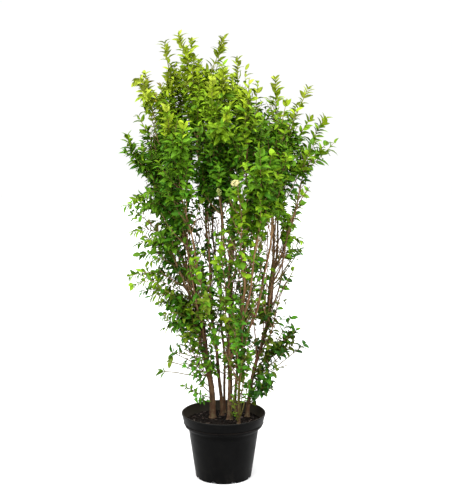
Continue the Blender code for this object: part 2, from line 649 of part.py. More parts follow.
class Foliage:
    """One mass of twigs and leaves, growing on one stem."""

    def __init__(self, name, path, start, foot_radius, spaces, limbs):
        self.name = name
        self.path = path
        self.start = start
        self.foot_radius = foot_radius
        self.spaces = spaces
        self.limbs = limbs
        self.rng = random.Random(f"privet {name}")
        self.placed = []
        self.leaves = 0
        self.size = LOW_LEAF if path.points[-1].z < LOW_CROWN else 1.0

    def fits(self, mesh, outer, twig):
        """True where the shape is in its own space and off the limbs, and where its outer part,
        which starts a little way out of its own twig, is off everything grown before."""
        points = [vert.co for vert in mesh.vertices]
        middles = []
        for edge in mesh.edges:
            a, b = edge.vertices
            middles.append((points[a] + points[b]) / 2)
        if not self.spaces.holds(self.name, points + middles):
            return False
        tree = solid_tree(mesh)
        if any(tree.overlap(limb) for limb in self.limbs):
            return False
        tree = solid_tree(outer)
        return not any(tree.overlap(other) for owner, other in self.placed if owner is not twig)

    def add(self, mesh, kind):
        made = bpy.data.objects.new(f"{self.name}_{kind}", mesh)
        loose.objects.link(made)
        self.placed.append((made, solid_tree(mesh, OWN_MARGIN)))
        return made

    def radius(self, part_way):
        """Radius of the foliage's stem, this part of the way along it."""
        return limb_radius(self.foot_radius, self.start + (1 - self.start) * part_way)

    def stem(self, clearance):
        marks = [k / STEM_FACETS for k in range(STEM_FACETS + 1)]
        points = [self.path.at(self.start + (1 - self.start) * mark) for mark in marks]
        radii = [self.radius(mark) for mark in marks]
        if self.start > 0:
            points[:1] = end_stretch(self.path, self.start, 1)
            radii[:1] = [radii[0], radii[0]]
        self.line = Path(points)
        made = as_mesh(tube(f"foliage_{self.name}", points, radii, section=section), part)
        if self.start == 0:
            boolean(made, "DIFFERENCE", clearance)
        self.placed.append((made, solid_tree(made.data)))
        return made

    def grow(self, clearance):
        self.body = self.stem(clearance)
        if self.name in BLOSSOMS:
            self.blossom(**BLOSSOMS[self.name])
        pairs = max(1, round(TWIG_REACH * self.line.length / TWIG_GAP))
        roll = self.rng.uniform(0, math.pi)
        for k in range(pairs):
            part_way = TWIG_REACH * (k + 0.6) / pairs
            size = TWIG_LENGTH * (1.15 - 0.6 * part_way)
            for side in (0, math.pi):
                self.side_twig(part_way, roll + side, size)
            roll += math.pi / 2
        self.leaf_pairs(self.line, BARE_FOOT, self.body, roll)
        return self.fuse()

    def side_twig(self, part_way, roll, size):
        root, direction = self.line.at(part_way), self.line.along(part_way)
        away = turned_aside(direction, roll + self.rng.uniform(-0.3, 0.3), TWIG_ANGLE)
        length = size * self.size * self.rng.uniform(0.85, 1.15)
        radius = TWIG_SHARE * self.radius(part_way)
        radii = (radius, 0.8 * radius, TWIG_TIP)
        for cut in (1.0, 0.7):
            points = twig_points(root, away, length * cut)
            mesh = self.twig_mesh(points, radii)
            outer = self.twig_mesh([root + away * CLEAR_ROOT] + points[1:], radii)
            if self.fits(mesh, outer, self.body):
                twig = self.add(mesh, "twig")
                self.leaf_pairs(Path(points), FIRST_LEAF, twig, self.rng.uniform(0, math.pi))
                return

    def twig_mesh(self, points, radii):
        made = as_mesh(tube("twig", points, radii, section=section), loose)
        mesh = made.data
        bpy.data.objects.remove(made)
        return mesh

    def leaf_pairs(self, path, first, twig, roll):
        """Opposite leaves from the share "first" to the tip, smaller and more upright near it."""
        run = path.length * (1 - first)
        pairs = max(1, round(run / (LEAF_GAP * self.size)))
        last = 1 - SUNK_TIP / path.length
        for k in range(pairs + 1):
            share = first + (last - first) * k / pairs
            spread = LEAF_SPREAD - LEAF_CLOSING * share
            size = LEAF_LENGTH * self.size * self.rng.uniform(0.88, 1.1)
            if k == pairs:
                size *= TIP_LEAF
            for side in (0, math.pi):
                self.leaf(path.at(share), path.along(share), roll + side, spread, size, twig)
            roll += math.pi / 2 + self.rng.uniform(-0.25, 0.25)

    def leaf(self, root, direction, roll, spread, size, twig):
        face = (direction + FACE_UP * UP).normalized()
        for turn in LEAF_TURNS:
            away = turned_aside(direction, roll + turn, spread)
            mesh = leaf_mesh(root, away, face, size)
            outer = leaf_mesh(root + away * CLEAR_ROOT, away, face, size - CLEAR_ROOT)
            if self.fits(mesh, outer, twig):
                self.add(mesh, "leaf")
                self.leaves += 1
                return

    def blossom(self, part_way, toward, length, width):
        """A cream head of small flowers, fused to the foliage's stem by its stalk."""
        root = self.line.at(part_way)
        away = Vector(toward).normalized()
        head = root + away * (BLOSSOM_STALK + length / 2)
        stalk = as_mesh(tube("stalk", [root, head], (TWIG_TIP, TWIG_TIP), section=section), loose)
        self.placed.append((stalk, solid_tree(stalk.data)))
        cage = bmesh.new()
        bmesh.ops.create_icosphere(cage, subdivisions=1, radius=0.5)
        stretch = Matrix.Diagonal((width, width, length, 1.0))
        turned_to = away.to_track_quat("Z", "Y").to_matrix().to_4x4()
        bmesh.ops.transform(cage, matrix=Matrix.Translation(head) @ turned_to @ stretch,
                            verts=cage.verts)
        mesh = bpy.data.meshes.new("blossom")
        cage.to_mesh(mesh)
        cage.free()
        self.add(mesh, "blossom")

    def fuse(self):
        scraps = boolean(self.body, "UNION", loose, solver="MANIFOLD")
        for item in list(loose.objects):
            bpy.data.objects.remove(item)
        height = self.path.points[-1].z
        finish = BRIGHT_LEAF if height > 1.15 else GREEN_LEAF if height > 0.7 else DARK_LEAF
        self.body.data.materials.clear()
        self.body.data.materials.append(finish_of(f"leaf_{self.name}", finish))
        triangles = sum(len(face.vertices) - 2 for face in self.body.data.polygons)
        print(f"{self.body.name}: {self.leaves} leaves, {triangles} triangles, {scraps} scraps")
        return self.leaves, triangles


def make_plant():
    paths, clearances, trees = {}, {}, []
    for k, (name, stem) in enumerate(STEMS.items()):
        paths[name] = stem_path(stem, SWAY_STEP * k)
        clearances[name] = make_stem(name, stem, paths[name])
        trees.append(solid_tree(clearances[name].data, LIMB_MARGIN))
    growing = []
    for name, stem in STEMS.items():
        path = paths[name]
        growing.append((name, path, path.share_at_height(stem["bare"]), stem["radius"], None))
    for k, (name, limb) in enumerate(SIDE_LIMBS.items()):
        carrier = limb["carrier"]
        path = side_path(limb, paths[carrier], SWAY_STEP * (k + len(STEMS)))
        if limb["bare"]:
            bough = make_bough(name, limb, path, clearances[carrier])
            trees.append(solid_tree(bough.data, LIMB_MARGIN))
        growing.append((name, path, limb["bare"], limb["radius"], clearances[carrier]))
    lines = {}
    for name, path, start, radius, clearance in growing:
        lines[name] = [path.at(start + (1 - start) * k / SPACE_LINE) for k in range(SPACE_LINE + 1)]
    spaces = Spaces(lines)
    total = [0, 0]
    for name, path, start, radius, clearance in growing:
        leaves, triangles = Foliage(name, path, start, radius, spaces, trees).grow(clearance)
        total[0] += leaves
        total[1] += triangles
    print(f"{len(growing)} masses of foliage, {total[0]} leaves, {total[1]} triangles")


clear_scene()
part = new_collection("privet_shrub")
cutters = new_collection("cutters")
guides = new_collection("guides")
loose = new_collection("loose_leaves")
section = three_sided_section()
make_soil(make_pot())
make_plant()
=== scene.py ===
import math
import random

import bpy
import numpy as np
from mathutils import Matrix, Vector


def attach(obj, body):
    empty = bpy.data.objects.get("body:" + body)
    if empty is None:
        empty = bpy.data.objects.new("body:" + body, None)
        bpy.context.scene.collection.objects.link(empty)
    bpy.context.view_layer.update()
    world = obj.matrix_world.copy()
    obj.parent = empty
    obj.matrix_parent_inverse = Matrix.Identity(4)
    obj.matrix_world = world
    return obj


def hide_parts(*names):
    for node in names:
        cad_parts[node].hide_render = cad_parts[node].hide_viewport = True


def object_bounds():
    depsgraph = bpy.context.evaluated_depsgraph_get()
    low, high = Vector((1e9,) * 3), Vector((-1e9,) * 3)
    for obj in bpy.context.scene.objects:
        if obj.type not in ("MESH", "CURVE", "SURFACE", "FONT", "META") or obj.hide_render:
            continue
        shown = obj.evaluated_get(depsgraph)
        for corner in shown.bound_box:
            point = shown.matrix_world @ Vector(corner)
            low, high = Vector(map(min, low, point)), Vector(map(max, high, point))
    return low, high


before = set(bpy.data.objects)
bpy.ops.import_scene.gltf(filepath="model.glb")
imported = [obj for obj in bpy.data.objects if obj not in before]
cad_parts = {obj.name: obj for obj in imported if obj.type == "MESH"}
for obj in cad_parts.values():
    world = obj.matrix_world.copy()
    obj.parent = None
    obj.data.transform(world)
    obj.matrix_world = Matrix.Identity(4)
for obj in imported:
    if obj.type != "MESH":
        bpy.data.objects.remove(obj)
cadLow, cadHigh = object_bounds()
print("frame loaded with", len(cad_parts), "nodes")

up = Vector((0.0, 0.0, 1.0))


# Small helpers

def srgb(red, green, blue):
    # a colour as it looks on screen, 0 to 255, turned to the linear light that shaders want
    linear = []
    for level in (red, green, blue):
        share = level / 255
        linear.append(share / 12.92 if share <= 0.04045 else ((share + 0.055) / 1.055) ** 2.4)
    return (*linear, 1.0)


def deselectAll():
    if bpy.context.object and bpy.context.object.mode != "OBJECT":
        bpy.ops.object.mode_set(mode="OBJECT")
    bpy.ops.object.select_all(action="DESELECT")


def makeActive(piece):
    deselectAll()
    piece.select_set(True)
    bpy.context.view_layer.objects.active = piece


def selectWhere(piece, test):
    # selects the points of the piece that pass the test, and leaves it in edit mode
    bpy.ops.object.mode_set(mode="OBJECT")
    mesh = piece.data
    for face in mesh.polygons:
        face.select = False
    for edge in mesh.edges:
        edge.select = False
    for point in mesh.vertices:
        point.select = test(point.co)
    bpy.ops.object.mode_set(mode="EDIT")
    bpy.ops.mesh.select_mode(type="VERT")


def applyModifiers(piece):
    makeActive(piece)
    for modifier in list(piece.modifiers):
        bpy.ops.object.modifier_apply(modifier=modifier.name)


def smoothByAngle(piece, degrees):
    makeActive(piece)
    bpy.ops.object.shade_smooth_by_angle(angle=math.radians(degrees))


def drawRings(name, segments, rings):
    # a round solid: a circle's edge is extruded from ring to ring, each (radius, height), and closed at the last
    deselectAll()
    radius, height = rings[0]
    bpy.ops.mesh.primitive_circle_add(vertices=segments, radius=radius, location=(0, 0, height), fill_type="NGON")
    made = bpy.context.object
    made.name = name
    bpy.ops.object.transform_apply(location=True)
    bpy.ops.object.mode_set(mode="EDIT")
    bpy.ops.mesh.select_mode(type="EDGE")
    bpy.ops.mesh.select_all(action="SELECT")
    bpy.ops.mesh.region_to_loop()
    for (oldRadius, oldHeight), (newRadius, newHeight) in zip(rings, rings[1:]):
        bpy.ops.mesh.extrude_edges_move(TRANSFORM_OT_translate={"value": (0, 0, newHeight - oldHeight)})
        share = newRadius / oldRadius
        bpy.ops.transform.resize(value=(share, share, 1.0), center_override=(0, 0, newHeight))
    bpy.ops.mesh.edge_face_add()
    bpy.ops.mesh.select_all(action="SELECT")
    bpy.ops.mesh.normals_make_consistent(inside=False)
    bpy.ops.object.mode_set(mode="OBJECT")
    return made


def addBumps(piece, label, grain, strength):
    # a cloudy unevenness as a modifier, for the caller to apply
    texture = bpy.data.textures.new(f"{piece.name}_{label}", "CLOUDS")
    texture.noise_scale = grain
    texture.noise_depth = 2
    bumps = piece.modifiers.new(label, "DISPLACE")
    bumps.texture = texture
    bumps.texture_coords = "LOCAL"
    bumps.strength = strength
    return bumps


def takenApart(piece):
    # the points, three-cornered and four-cornered faces of a modelled piece, which is then removed
    places = np.array([tuple(point.co) for point in piece.data.vertices])
    faces = [tuple(face.vertices) for face in piece.data.polygons]
    bpy.data.objects.remove(piece)
    return places, *(np.array([face for face in faces if len(face) == corners]) for corners in (3, 4))


def settle(piece, slotName, material, *nodes):
    # gives the piece its finish, hangs it on the plant's one body and lets it stand for CAD nodes
    piece.data.materials.clear()
    piece.data.materials.append(material)
    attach(piece, "root")
    if nodes:
        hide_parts(*nodes)


class Shader:
    # a Principled material and short ways to add nodes to it

    def __init__(self, name, colour, roughness):
        self.material = bpy.data.materials.new(name)
        self.material.use_nodes = True
        self.nodes = self.material.node_tree.nodes
        self.links = self.material.node_tree.links
        self.main = self.nodes["Principled BSDF"]
        self.main.inputs["Base Color"].default_value = colour
        self.main.inputs["Roughness"].default_value = roughness
        self.material.diffuse_color = colour
        self.place = self.nodes.new("ShaderNodeTexCoord").outputs["Object"]

    def stretched(self, scale):
        mapping = self.nodes.new("ShaderNodeMapping")
        mapping.inputs["Scale"].default_value = scale
        self.links.new(self.place, mapping.inputs["Vector"])
        return mapping.outputs["Vector"]

    def noise(self, scale, detail=3.0, where=None):
        noise = self.nodes.new("ShaderNodeTexNoise")
        noise.inputs["Scale"].default_value = scale
        noise.inputs["Detail"].default_value = detail
        self.links.new(where or self.place, noise.inputs["Vector"])
        return noise.outputs["Fac"]

    def cells(self, scale, where=None):
        cells = self.nodes.new("ShaderNodeTexVoronoi")
        cells.inputs["Scale"].default_value = scale
        self.links.new(where or self.place, cells.inputs["Vector"])
        return cells.outputs["Distance"]

    def ramp(self, factor, *stops):
        ramp = self.nodes.new("ShaderNodeValToRGB")
        while len(ramp.color_ramp.elements) < len(stops):
            ramp.color_ramp.elements.new(0.5)
        for element, (position, colour) in zip(ramp.color_ramp.elements, stops):
            element.position = position
            element.color = colour
        self.links.new(factor, ramp.inputs["Fac"])
        return ramp.outputs["Color"]

    def mixed(self, factor, first, second):
        mix = self.nodes.new("ShaderNodeMix")
        mix.data_type = "RGBA"
        for socket, value in ((mix.inputs["Factor"], factor), (mix.inputs["A"], first), (mix.inputs["B"], second)):
            self.feed(value, socket)
        return mix.outputs["Result"]

    def maths(self, operation, first, second=0.0):
        step = self.nodes.new("ShaderNodeMath")
        step.operation = operation
        self.feed(first, step.inputs[0])
        self.feed(second, step.inputs[1])
        return step.outputs["Value"]

    def ranged(self, value, low, high, newLow=0.0, newHigh=1.0):
        scaled = self.nodes.new("ShaderNodeMapRange")
        self.links.new(value, scaled.inputs["Value"])
        for key, number in (("From Min", low), ("From Max", high), ("To Min", newLow), ("To Max", newHigh)):
            scaled.inputs[key].default_value = number
        return scaled.outputs["Result"]

    def axis(self, letter, where=None):
        parts = self.nodes.new("ShaderNodeSeparateXYZ")
        self.links.new(where or self.place, parts.inputs["Vector"])
        return parts.outputs[letter]

    def feed(self, value, socket):
        if isinstance(value, bpy.types.NodeSocket):
            self.links.new(value, socket)
        else:
            socket.default_value = value

    def colour(self, value):
        self.links.new(value, self.main.inputs["Base Color"])

    def roughness(self, value):
        self.links.new(value, self.main.inputs["Roughness"])

    def shine(self, value):
        self.feed(value, self.main.inputs["Specular IOR Level"])

    def relief(self, height, strength, distance):
        bump = self.nodes.new("ShaderNodeBump")
        bump.inputs["Strength"].default_value = strength
        bump.inputs["Distance"].default_value = distance
        self.links.new(height, bump.inputs["Height"])
        self.links.new(bump.outputs["Normal"], self.main.inputs["Normal"])


# Camera, floor and light

shot = {
    "cameraPlace": (0.008, -4.0, 1.474),
    "cameraAim": (0.008, 0.0, 0.768),
    "lens": 89.75,
    "floorSize": 14.0,
    "floorColour": (0.54, 0.54, 0.54, 1.0),
    "skyStrength": 1.02,
    "suns": {  # where the light comes from, how wide it is in degrees, strength
        "keyLight": ((-1.0, -1.6, 2.5), 40, 3.9),
        "fillLight": ((1.6, -1.7, 2.0), 48, 2.6),
        "topLight": ((0.2, 0.4, 3.0), 60, 2.7),
    },
    "lights": {  # place, aim, size, watts
        "softLeft": ((-2.4, -1.6, 1.0), (0.0, 0.0, 0.3), 1.2, 26),
        "softRight": ((2.4, -1.6, 1.0), (0.0, 0.0, 0.3), 1.2, 22),
    },
}


def aimed(place, target):
    return (Vector(target) - Vector(place)).to_track_quat("-Z", "Y").to_euler()


def setTheShot():
    bpy.ops.object.camera_add(location=shot["cameraPlace"], rotation=aimed(shot["cameraPlace"], shot["cameraAim"]))
    camera = bpy.context.object
    camera.name = "photoCamera"
    camera.data.lens = shot["lens"]
    camera.data.dof.use_dof = False
    bpy.context.scene.camera = camera
    for name, (place, aim, size, watts) in shot["lights"].items():
        bpy.ops.object.light_add(type="AREA", location=place, rotation=aimed(place, aim))
        light = bpy.context.object
        light.name = name
        light.data.size = size
        light.data.energy = watts
    for name, (place, width, strength) in shot["suns"].items():
        bpy.ops.object.light_add(type="SUN", location=place, rotation=aimed(place, (0.0, 0.0, 0.0)))
        sun = bpy.context.object
        sun.name = name
        sun.data.angle = math.radians(width)
        sun.data.energy = strength
    world = bpy.data.worlds.new("paleStudio")
    world.use_nodes = True
    sky = world.node_tree.nodes["Background"]
    sky.inputs["Color"].default_value = (1.0, 1.0, 1.0, 1.0)
    sky.inputs["Strength"].default_value = shot["skyStrength"]
    bpy.context.scene.world = world
    bpy.context.scene.view_settings.view_transform = "Standard"
    bpy.ops.mesh.primitive_plane_add(size=shot["floorSize"])
    floor = bpy.context.object
    floor.name = "studioFloor"
    finish = Shader("floorFinish", shot["floorColour"], 0.9)
    floor.data.materials.append(finish.material)


setTheShot()
print("camera, floor and light are set")


# Where the limbs run: the same named sizes and the same rule as the part's own source

stemFoot = 0.1943  # height of the compost where the stems stand
waistHeight = 0.55
shoulderHeight = 0.95
cadTipReach = 0.042  # the limbs' own ends stop this far short of the tips named below
stems = {  # places at foot, waist, shoulder and tip, radius at the foot, height where the foliage starts
    "left": ((-0.036, 0.02), (-0.078, 0.033), (-0.15, 0.05), (-0.188, 0.07, 1.443), 0.0098, 1.08),
    "inner_left": ((-0.006, 0.048), (-0.038, 0.02), (-0.062, -0.006), (-0.134, -0.03, 1.471), 0.0062, 1.1),
    "slender": ((0.004, 0.074), (-0.008, 0.086), (-0.05, 0.128), (-0.085, 0.165, 1.37), 0.0044, 1.02),
    "centre": ((0.02, 0.0), (0.021, 0.007), (0.026, 0.018), (0.002, 0.034, 1.458), 0.0082, 1.12),
    "right": ((0.079, 0.03), (0.147, 0.028), (0.166, 0.02), (0.167, 0.012, 1.33), 0.0068, 1.02),
    "front": ((0.05, -0.046), (0.062, -0.088), (0.072, -0.128), (0.078, -0.15, 1.342), 0.0046, 0.96),
    "back": ((0.04, 0.082), (0.058, 0.118), (0.092, 0.172), (0.112, 0.205, 1.31), 0.0052, 0.98),
    "back_left": ((-0.042, 0.066), (-0.098, 0.104), (-0.165, 0.15), (-0.205, 0.19, 1.3), 0.005, 0.95),
}
sideLimbs = {  # carrier, height and slope in degrees where it leaves, tip and slope there, share that is bare,
    # radius at the foot
    "crown_left": ("left", 0.64, 62, (-0.272, 0.03, 1.326), 68, 0.38, 0.0048),
    "far_left": ("left", 0.79, 48, (-0.322, -0.02, 1.092), 30, 0.34, 0.0036),
    "upper_left": ("left", 0.9, 50, (-0.29, 0.14, 1.2), 50, 0.0, 0.0032),
    "front_left": ("inner_left", 0.52, 66, (-0.176, -0.196, 1.25), 74, 0.42, 0.0042),
    "front_crown": ("centre", 0.633, 64, (-0.038, -0.182, 1.33), 76, 0.36, 0.0042),
    "centre_right": ("centre", 0.4, 50, (0.196, -0.11, 1.262), 78, 0.5, 0.0052),
    "centre_back": ("centre", 0.66, 66, (0.048, 0.112, 1.39), 82, 0.4, 0.004),
    "outer_right": ("right", 0.47, 74, (0.28, 0.09, 1.294), 62, 0.44, 0.0046),
    "far_right": ("right", 0.7, 50, (0.336, -0.03, 1.126), 46, 0.34, 0.0036),
    "upper_right": ("back", 0.8, 46, (0.296, 0.17, 1.19), 54, 0.0, 0.0032),
    "low_right_crown": ("right", 0.64, 46, (0.28, -0.13, 1.0), 42, 0.0, 0.0032),
    "back_right": ("back", 0.64, 56, (0.206, 0.246, 1.08), 58, 0.36, 0.0036),
    "back_crown": ("slender", 0.6, 60, (-0.01, 0.262, 1.18), 66, 0.4, 0.0034),
    "back_far_left": ("back_left", 0.64, 52, (-0.262, 0.206, 1.02), 46, 0.3, 0.0034),
    "front_right": ("front", 0.56, 58, (0.15, -0.24, 1.11), 64, 0.4, 0.0034),
    "front_centre": ("front", 0.66, 56, (0.04, -0.262, 1.04), 56, 0.0, 0.003),
    "middle_left": ("left", 0.56, 52, (-0.306, -0.032, 0.912), 34, 0.0, 0.003),
    "waist_left": ("left", 0.44, 48, (-0.296, 0.03, 0.69), 26, 0.0, 0.0028),
    "middle_front": ("inner_left", 0.42, 56, (-0.108, -0.178, 0.8), 52, 0.0, 0.0026),
    "waist_front": ("centre", 0.45, 56, (-0.01, -0.186, 0.81), 52, 0.0, 0.0026),
    "middle_right": ("right", 0.56, 44, (0.258, 0.036, 0.89), 48, 0.0, 0.003),
    "waist_right": ("right", 0.4, 54, (0.236, -0.05, 0.726), 58, 0.0, 0.0028),
    "middle_back": ("back", 0.44, 46, (0.15, 0.216, 0.8), 50, 0.0, 0.0028),
    "waist_back": ("back_left", 0.4, 56, (-0.16, 0.206, 0.76), 50, 0.0, 0.0028),
    "low_left": ("left", 0.33, 40, (-0.2, -0.02, 0.548), 36, 0.0, 0.0024),
    "foot_left": ("left", 0.262, 22, (-0.198, 0.01, 0.345), 16, 0.0, 0.002),
    "low_front": ("front", 0.36, 54, (0.024, -0.17, 0.62), 52, 0.0, 0.0024),
    "low_right": ("right", 0.3, 40, (0.252, 0.01, 0.5), 34, 0.0, 0.0024),
    "low_back": ("back", 0.3, 52, (0.06, 0.19, 0.56), 50, 0.0, 0.0024),
    "foot_right": ("right", 0.232, 34, (0.172, -0.04, 0.318), 22, 0.0, 0.002),
}
limbs = {
    "tipRadius": 0.0012,
    "taperPower": 0.85,
    "rootFlare": 0.30,
    "flareHeight": 0.030,
    "sway": 0.0035,
    "swayLength": 0.26,
    "swayStep": 1.7,
    "samples": 48,
    "leafTipReach": 0.014,  # how far the last leaves stand out past the end of a life-size shoot
}


class Line:
    # a line through points, read by the share of its length

    def __init__(self, points):
        self.points = points
        self.reach = [0.0]
        for a, b in zip(points, points[1:]):
            self.reach.append(self.reach[-1] + (b - a).length)
        self.length = self.reach[-1]

    def at(self, share):
        want = min(max(share, 0.0), 1.0) * self.length
        k = 1
        while k < len(self.reach) - 1 and self.reach[k] < want:
            k += 1
        a, b = self.points[k - 1], self.points[k]
        return a.lerp(b, (want - self.reach[k - 1]) / (self.reach[k] - self.reach[k - 1]))

    def along(self, share, step=0.02):
        return (self.at(min(share + step, 1.0)) - self.at(max(share - step, 0.0))).normalized()

    def shareAtHeight(self, height):
        for k in range(1, len(self.points)):
            a, b = self.points[k - 1], self.points[k]
            if a.z <= height <= b.z:
                return (self.reach[k - 1] + (height - a.z) / (b.z - a.z) * (b - a).length) / self.length
        return 1.0


def swayed(points, phase):
    moved, travelled = [], 0.0
    for n, point in enumerate(points):
        if n:
            travelled += (point - points[n - 1]).length
        hold = math.sin(math.pi * n / (len(points) - 1)) ** 0.5
        turn = 2 * math.pi * travelled / limbs["swayLength"]
        offset = Vector((math.sin(turn + phase), math.sin(0.8 * turn + 2.1 * phase), 0.0))
        moved.append(point + limbs["sway"] * hold * offset)
    return moved


def hermite(a, b, slopeA, slopeB, part, run):
    t2, t3 = part * part, part ** 3
    return ((2 * t3 - 3 * t2 + 1) * a + (t3 - 2 * t2 + part) * run * slopeA
            + (3 * t2 - 2 * t3) * b + (t3 - t2) * run * slopeB)


def stemLine(foot, waist, shoulder, tip, phase):
    top = tip[2] - cadTipReach
    heights = (stemFoot, waistHeight, shoulderHeight, top)
    knots = [Vector(place[:2]) for place in (foot, waist, shoulder, tip)]
    slopes = [Vector((0.0, 0.0))]
    for k in (1, 2):
        slopes.append((knots[k + 1] - knots[k - 1]) / (heights[k + 1] - heights[k - 1]))
    slopes.append((knots[3] - knots[2]) / (heights[3] - heights[2]))
    points = []
    for n in range(limbs["samples"] + 1):
        height = stemFoot + (top - stemFoot) * n / limbs["samples"]
        k = sum(height > mark for mark in heights[1:3])
        run = heights[k + 1] - heights[k]
        place = hermite(knots[k], knots[k + 1], slopes[k], slopes[k + 1], (height - heights[k]) / run, run)
        points.append(Vector((place.x, place.y, height)))
    return Line(swayed(points, phase))


def sideLine(carrier, height, leave, tip, arrive, phase):
    start = carrier.at(carrier.shareAtHeight(height))
    tip = Vector(tip)
    out = Vector((tip.x - start.x, tip.y - start.y, 0.0)).normalized()
    leave, arrive = math.radians(leave), math.radians(arrive)
    arriving = out * math.cos(arrive) + up * math.sin(arrive)
    tip -= arriving * cadTipReach
    handle = 0.36 * (tip - start).length
    first = start + handle * (out * math.cos(leave) + up * math.sin(leave))
    last = tip - handle * arriving
    points = []
    for n in range(limbs["samples"] + 1):
        t = n / limbs["samples"]
        points.append(start * (1 - t) ** 3 + first * 3 * t * (1 - t) ** 2
                      + last * 3 * t * t * (1 - t) + tip * t ** 3)
    return Line(swayed(points, phase))


def limbRadius(footRadius, share):
    return limbs["tipRadius"] + (footRadius - limbs["tipRadius"]) * (1 - min(share, 1.0)) ** limbs["taperPower"]


def runLimbs():
    # every limb as (line, share where its foliage starts, radius at its foot)
    lines, found = {}, {}
    for k, (name, (*places, radius, bare)) in enumerate(stems.items()):
        lines[name] = stemLine(*places, limbs["swayStep"] * k)
        found[name] = (lines[name], lines[name].shareAtHeight(bare), radius)
    for k, (name, (carrier, height, leave, tip, arrive, bare, radius)) in enumerate(sideLimbs.items()):
        line = sideLine(lines[carrier], height, leave, tip, arrive, limbs["swayStep"] * (k + len(stems)))
        found[name] = (line, bare, radius)
    return found


limbLines = runLimbs()
print("limbs run:", len(limbLines))


# Joined meshes from arrays, for leaves and twigs that repeat thousands of times

def joinedMesh(name, places, faces, uvs=None):
    # places: points (n, 3); faces: list of arrays of corner numbers, all faces in one array having as many corners
    mesh = bpy.data.meshes.new(name)
    mesh.vertices.add(len(places))
    mesh.vertices.foreach_set("co", np.asarray(places, np.float32).ravel())
    corners = np.concatenate([block.ravel() for block in faces])
    sizes = np.concatenate([np.full(len(block), block.shape[1]) for block in faces])
    mesh.loops.add(len(corners))
    mesh.loops.foreach_set("vertex_index", corners.astype(np.int32))
    mesh.polygons.add(len(sizes))
    starts = np.concatenate([[0], np.cumsum(sizes)[:-1]])
    mesh.polygons.foreach_set("loop_start", starts.astype(np.int32))
    mesh.update(calc_edges=True)
    if uvs is not None:
        layer = mesh.uv_layers.new(name="leafMap")
        layer.uv.foreach_set("vector", np.asarray(uvs, np.float32)[corners].ravel())
    piece = bpy.data.objects.new(name, mesh)
    bpy.context.scene.collection.objects.link(piece)
    return piece


class TubeBatch:
    # many tapering tubes, closed at both ends, kept as arrays until they are joined to one piece

    def __init__(self):
        self.places, self.quads, self.fans, self.count = [], [], [], 0

    def add(self, points, radii, sides):
        line = np.array([tuple(p) for p in points])
        tangents = np.gradient(line, axis=0)
        tangents /= np.linalg.norm(tangents, axis=1)[:, None]
        normal = np.cross(tangents[0], (0.3, 0.9, 0.1))
        rings = []
        turn = 2 * np.pi * np.arange(sides) / sides
        for point, tangent, radius in zip(line, tangents, radii):
            normal = normal - tangent * (normal @ tangent)
            normal /= np.linalg.norm(normal)
            across = np.cross(tangent, normal)
            rings.append(point + radius * (np.cos(turn)[:, None] * normal + np.sin(turn)[:, None] * across))
        n = len(line)
        base = self.count
        self.places.append(np.concatenate(rings + [line[:1], line[-1:] + tangents[-1:] * radii[-1]]))
        ring = np.arange(sides)
        after = (ring + 1) % sides
        for k in range(n - 1):
            low, high = base + k * sides, base + (k + 1) * sides
            self.quads.append(np.stack([low + ring, low + after, high + after, high + ring], axis=1))
        foot, tip, last = base + n * sides, base + n * sides + 1, base + (n - 1) * sides
        self.fans.append(np.stack([base + after, base + ring, np.full(sides, foot)], axis=1))
        self.fans.append(np.stack([last + ring, last + after, np.full(sides, tip)], axis=1))
        self.count += n * sides + 2

    def piece(self, name):
        made = joinedMesh(name, np.concatenate(self.places),
                          [np.concatenate(self.quads), np.concatenate(self.fans)])
        smoothByAngle(made, 60)
        return made


# The leaf: a ball of a few rings, drawn out in edit mode to a pointed, folded blade on a short stalk

leafShapes = {  # along, half width and half thickness of each ring, as shares of the leaf's length
    "spear": ((0.07, 0.014, 0.010), (0.23, 0.132, 0.008), (0.52, 0.180, 0.008), (0.80, 0.106, 0.006)),
    "oval": ((0.08, 0.016, 0.011), (0.22, 0.190, 0.009), (0.50, 0.268, 0.009), (0.79, 0.168, 0.007)),
}
leafFold = 0.46  # how far the edges rise, as a share of the half width


def modelLeaf(name, rings):
    deselectAll()
    bpy.ops.mesh.primitive_uv_sphere_add(segments=4, ring_count=len(rings) + 1, radius=1.0)
    leaf = bpy.context.object
    leaf.name = name
    levels = sorted({round(point.co.z, 4) for point in leaf.data.vertices})
    for level, (along, wide, thick) in zip(levels[1:-1], rings):
        radius = math.sqrt(1 - level * level)
        selectWhere(leaf, lambda co: abs(co.z - level) < 0.001)
        bpy.ops.transform.resize(value=(wide / radius, thick / radius, 1.0), center_override=(0, 0, level))
        bpy.ops.transform.translate(value=(0, 0, 5 + along - level))
        selectWhere(leaf, lambda co: abs(co.z - 5 - along) < 0.001 and abs(co.x) > 0.5 * wide)
        bpy.ops.transform.translate(value=(0, leafFold * wide, 0))
    selectWhere(leaf, lambda co: abs(co.z + 1) < 0.001)  # the foot of the stalk
    bpy.ops.transform.translate(value=(0, 0, 6))
    selectWhere(leaf, lambda co: abs(co.z - 1) < 0.001)  # the leaf's point
    bpy.ops.transform.translate(value=(0, 0, 5))
    bpy.ops.mesh.select_all(action="SELECT")
    bpy.ops.transform.translate(value=(0, 0, -5))
    bpy.ops.object.mode_set(mode="OBJECT")
    return takenApart(leaf)


leafPatterns = {name: modelLeaf(name, rings) for name, rings in leafShapes.items()}
print("leaves modelled:", {name: len(p[1]) + 2 * len(p[2]) for name, p in leafPatterns.items()})


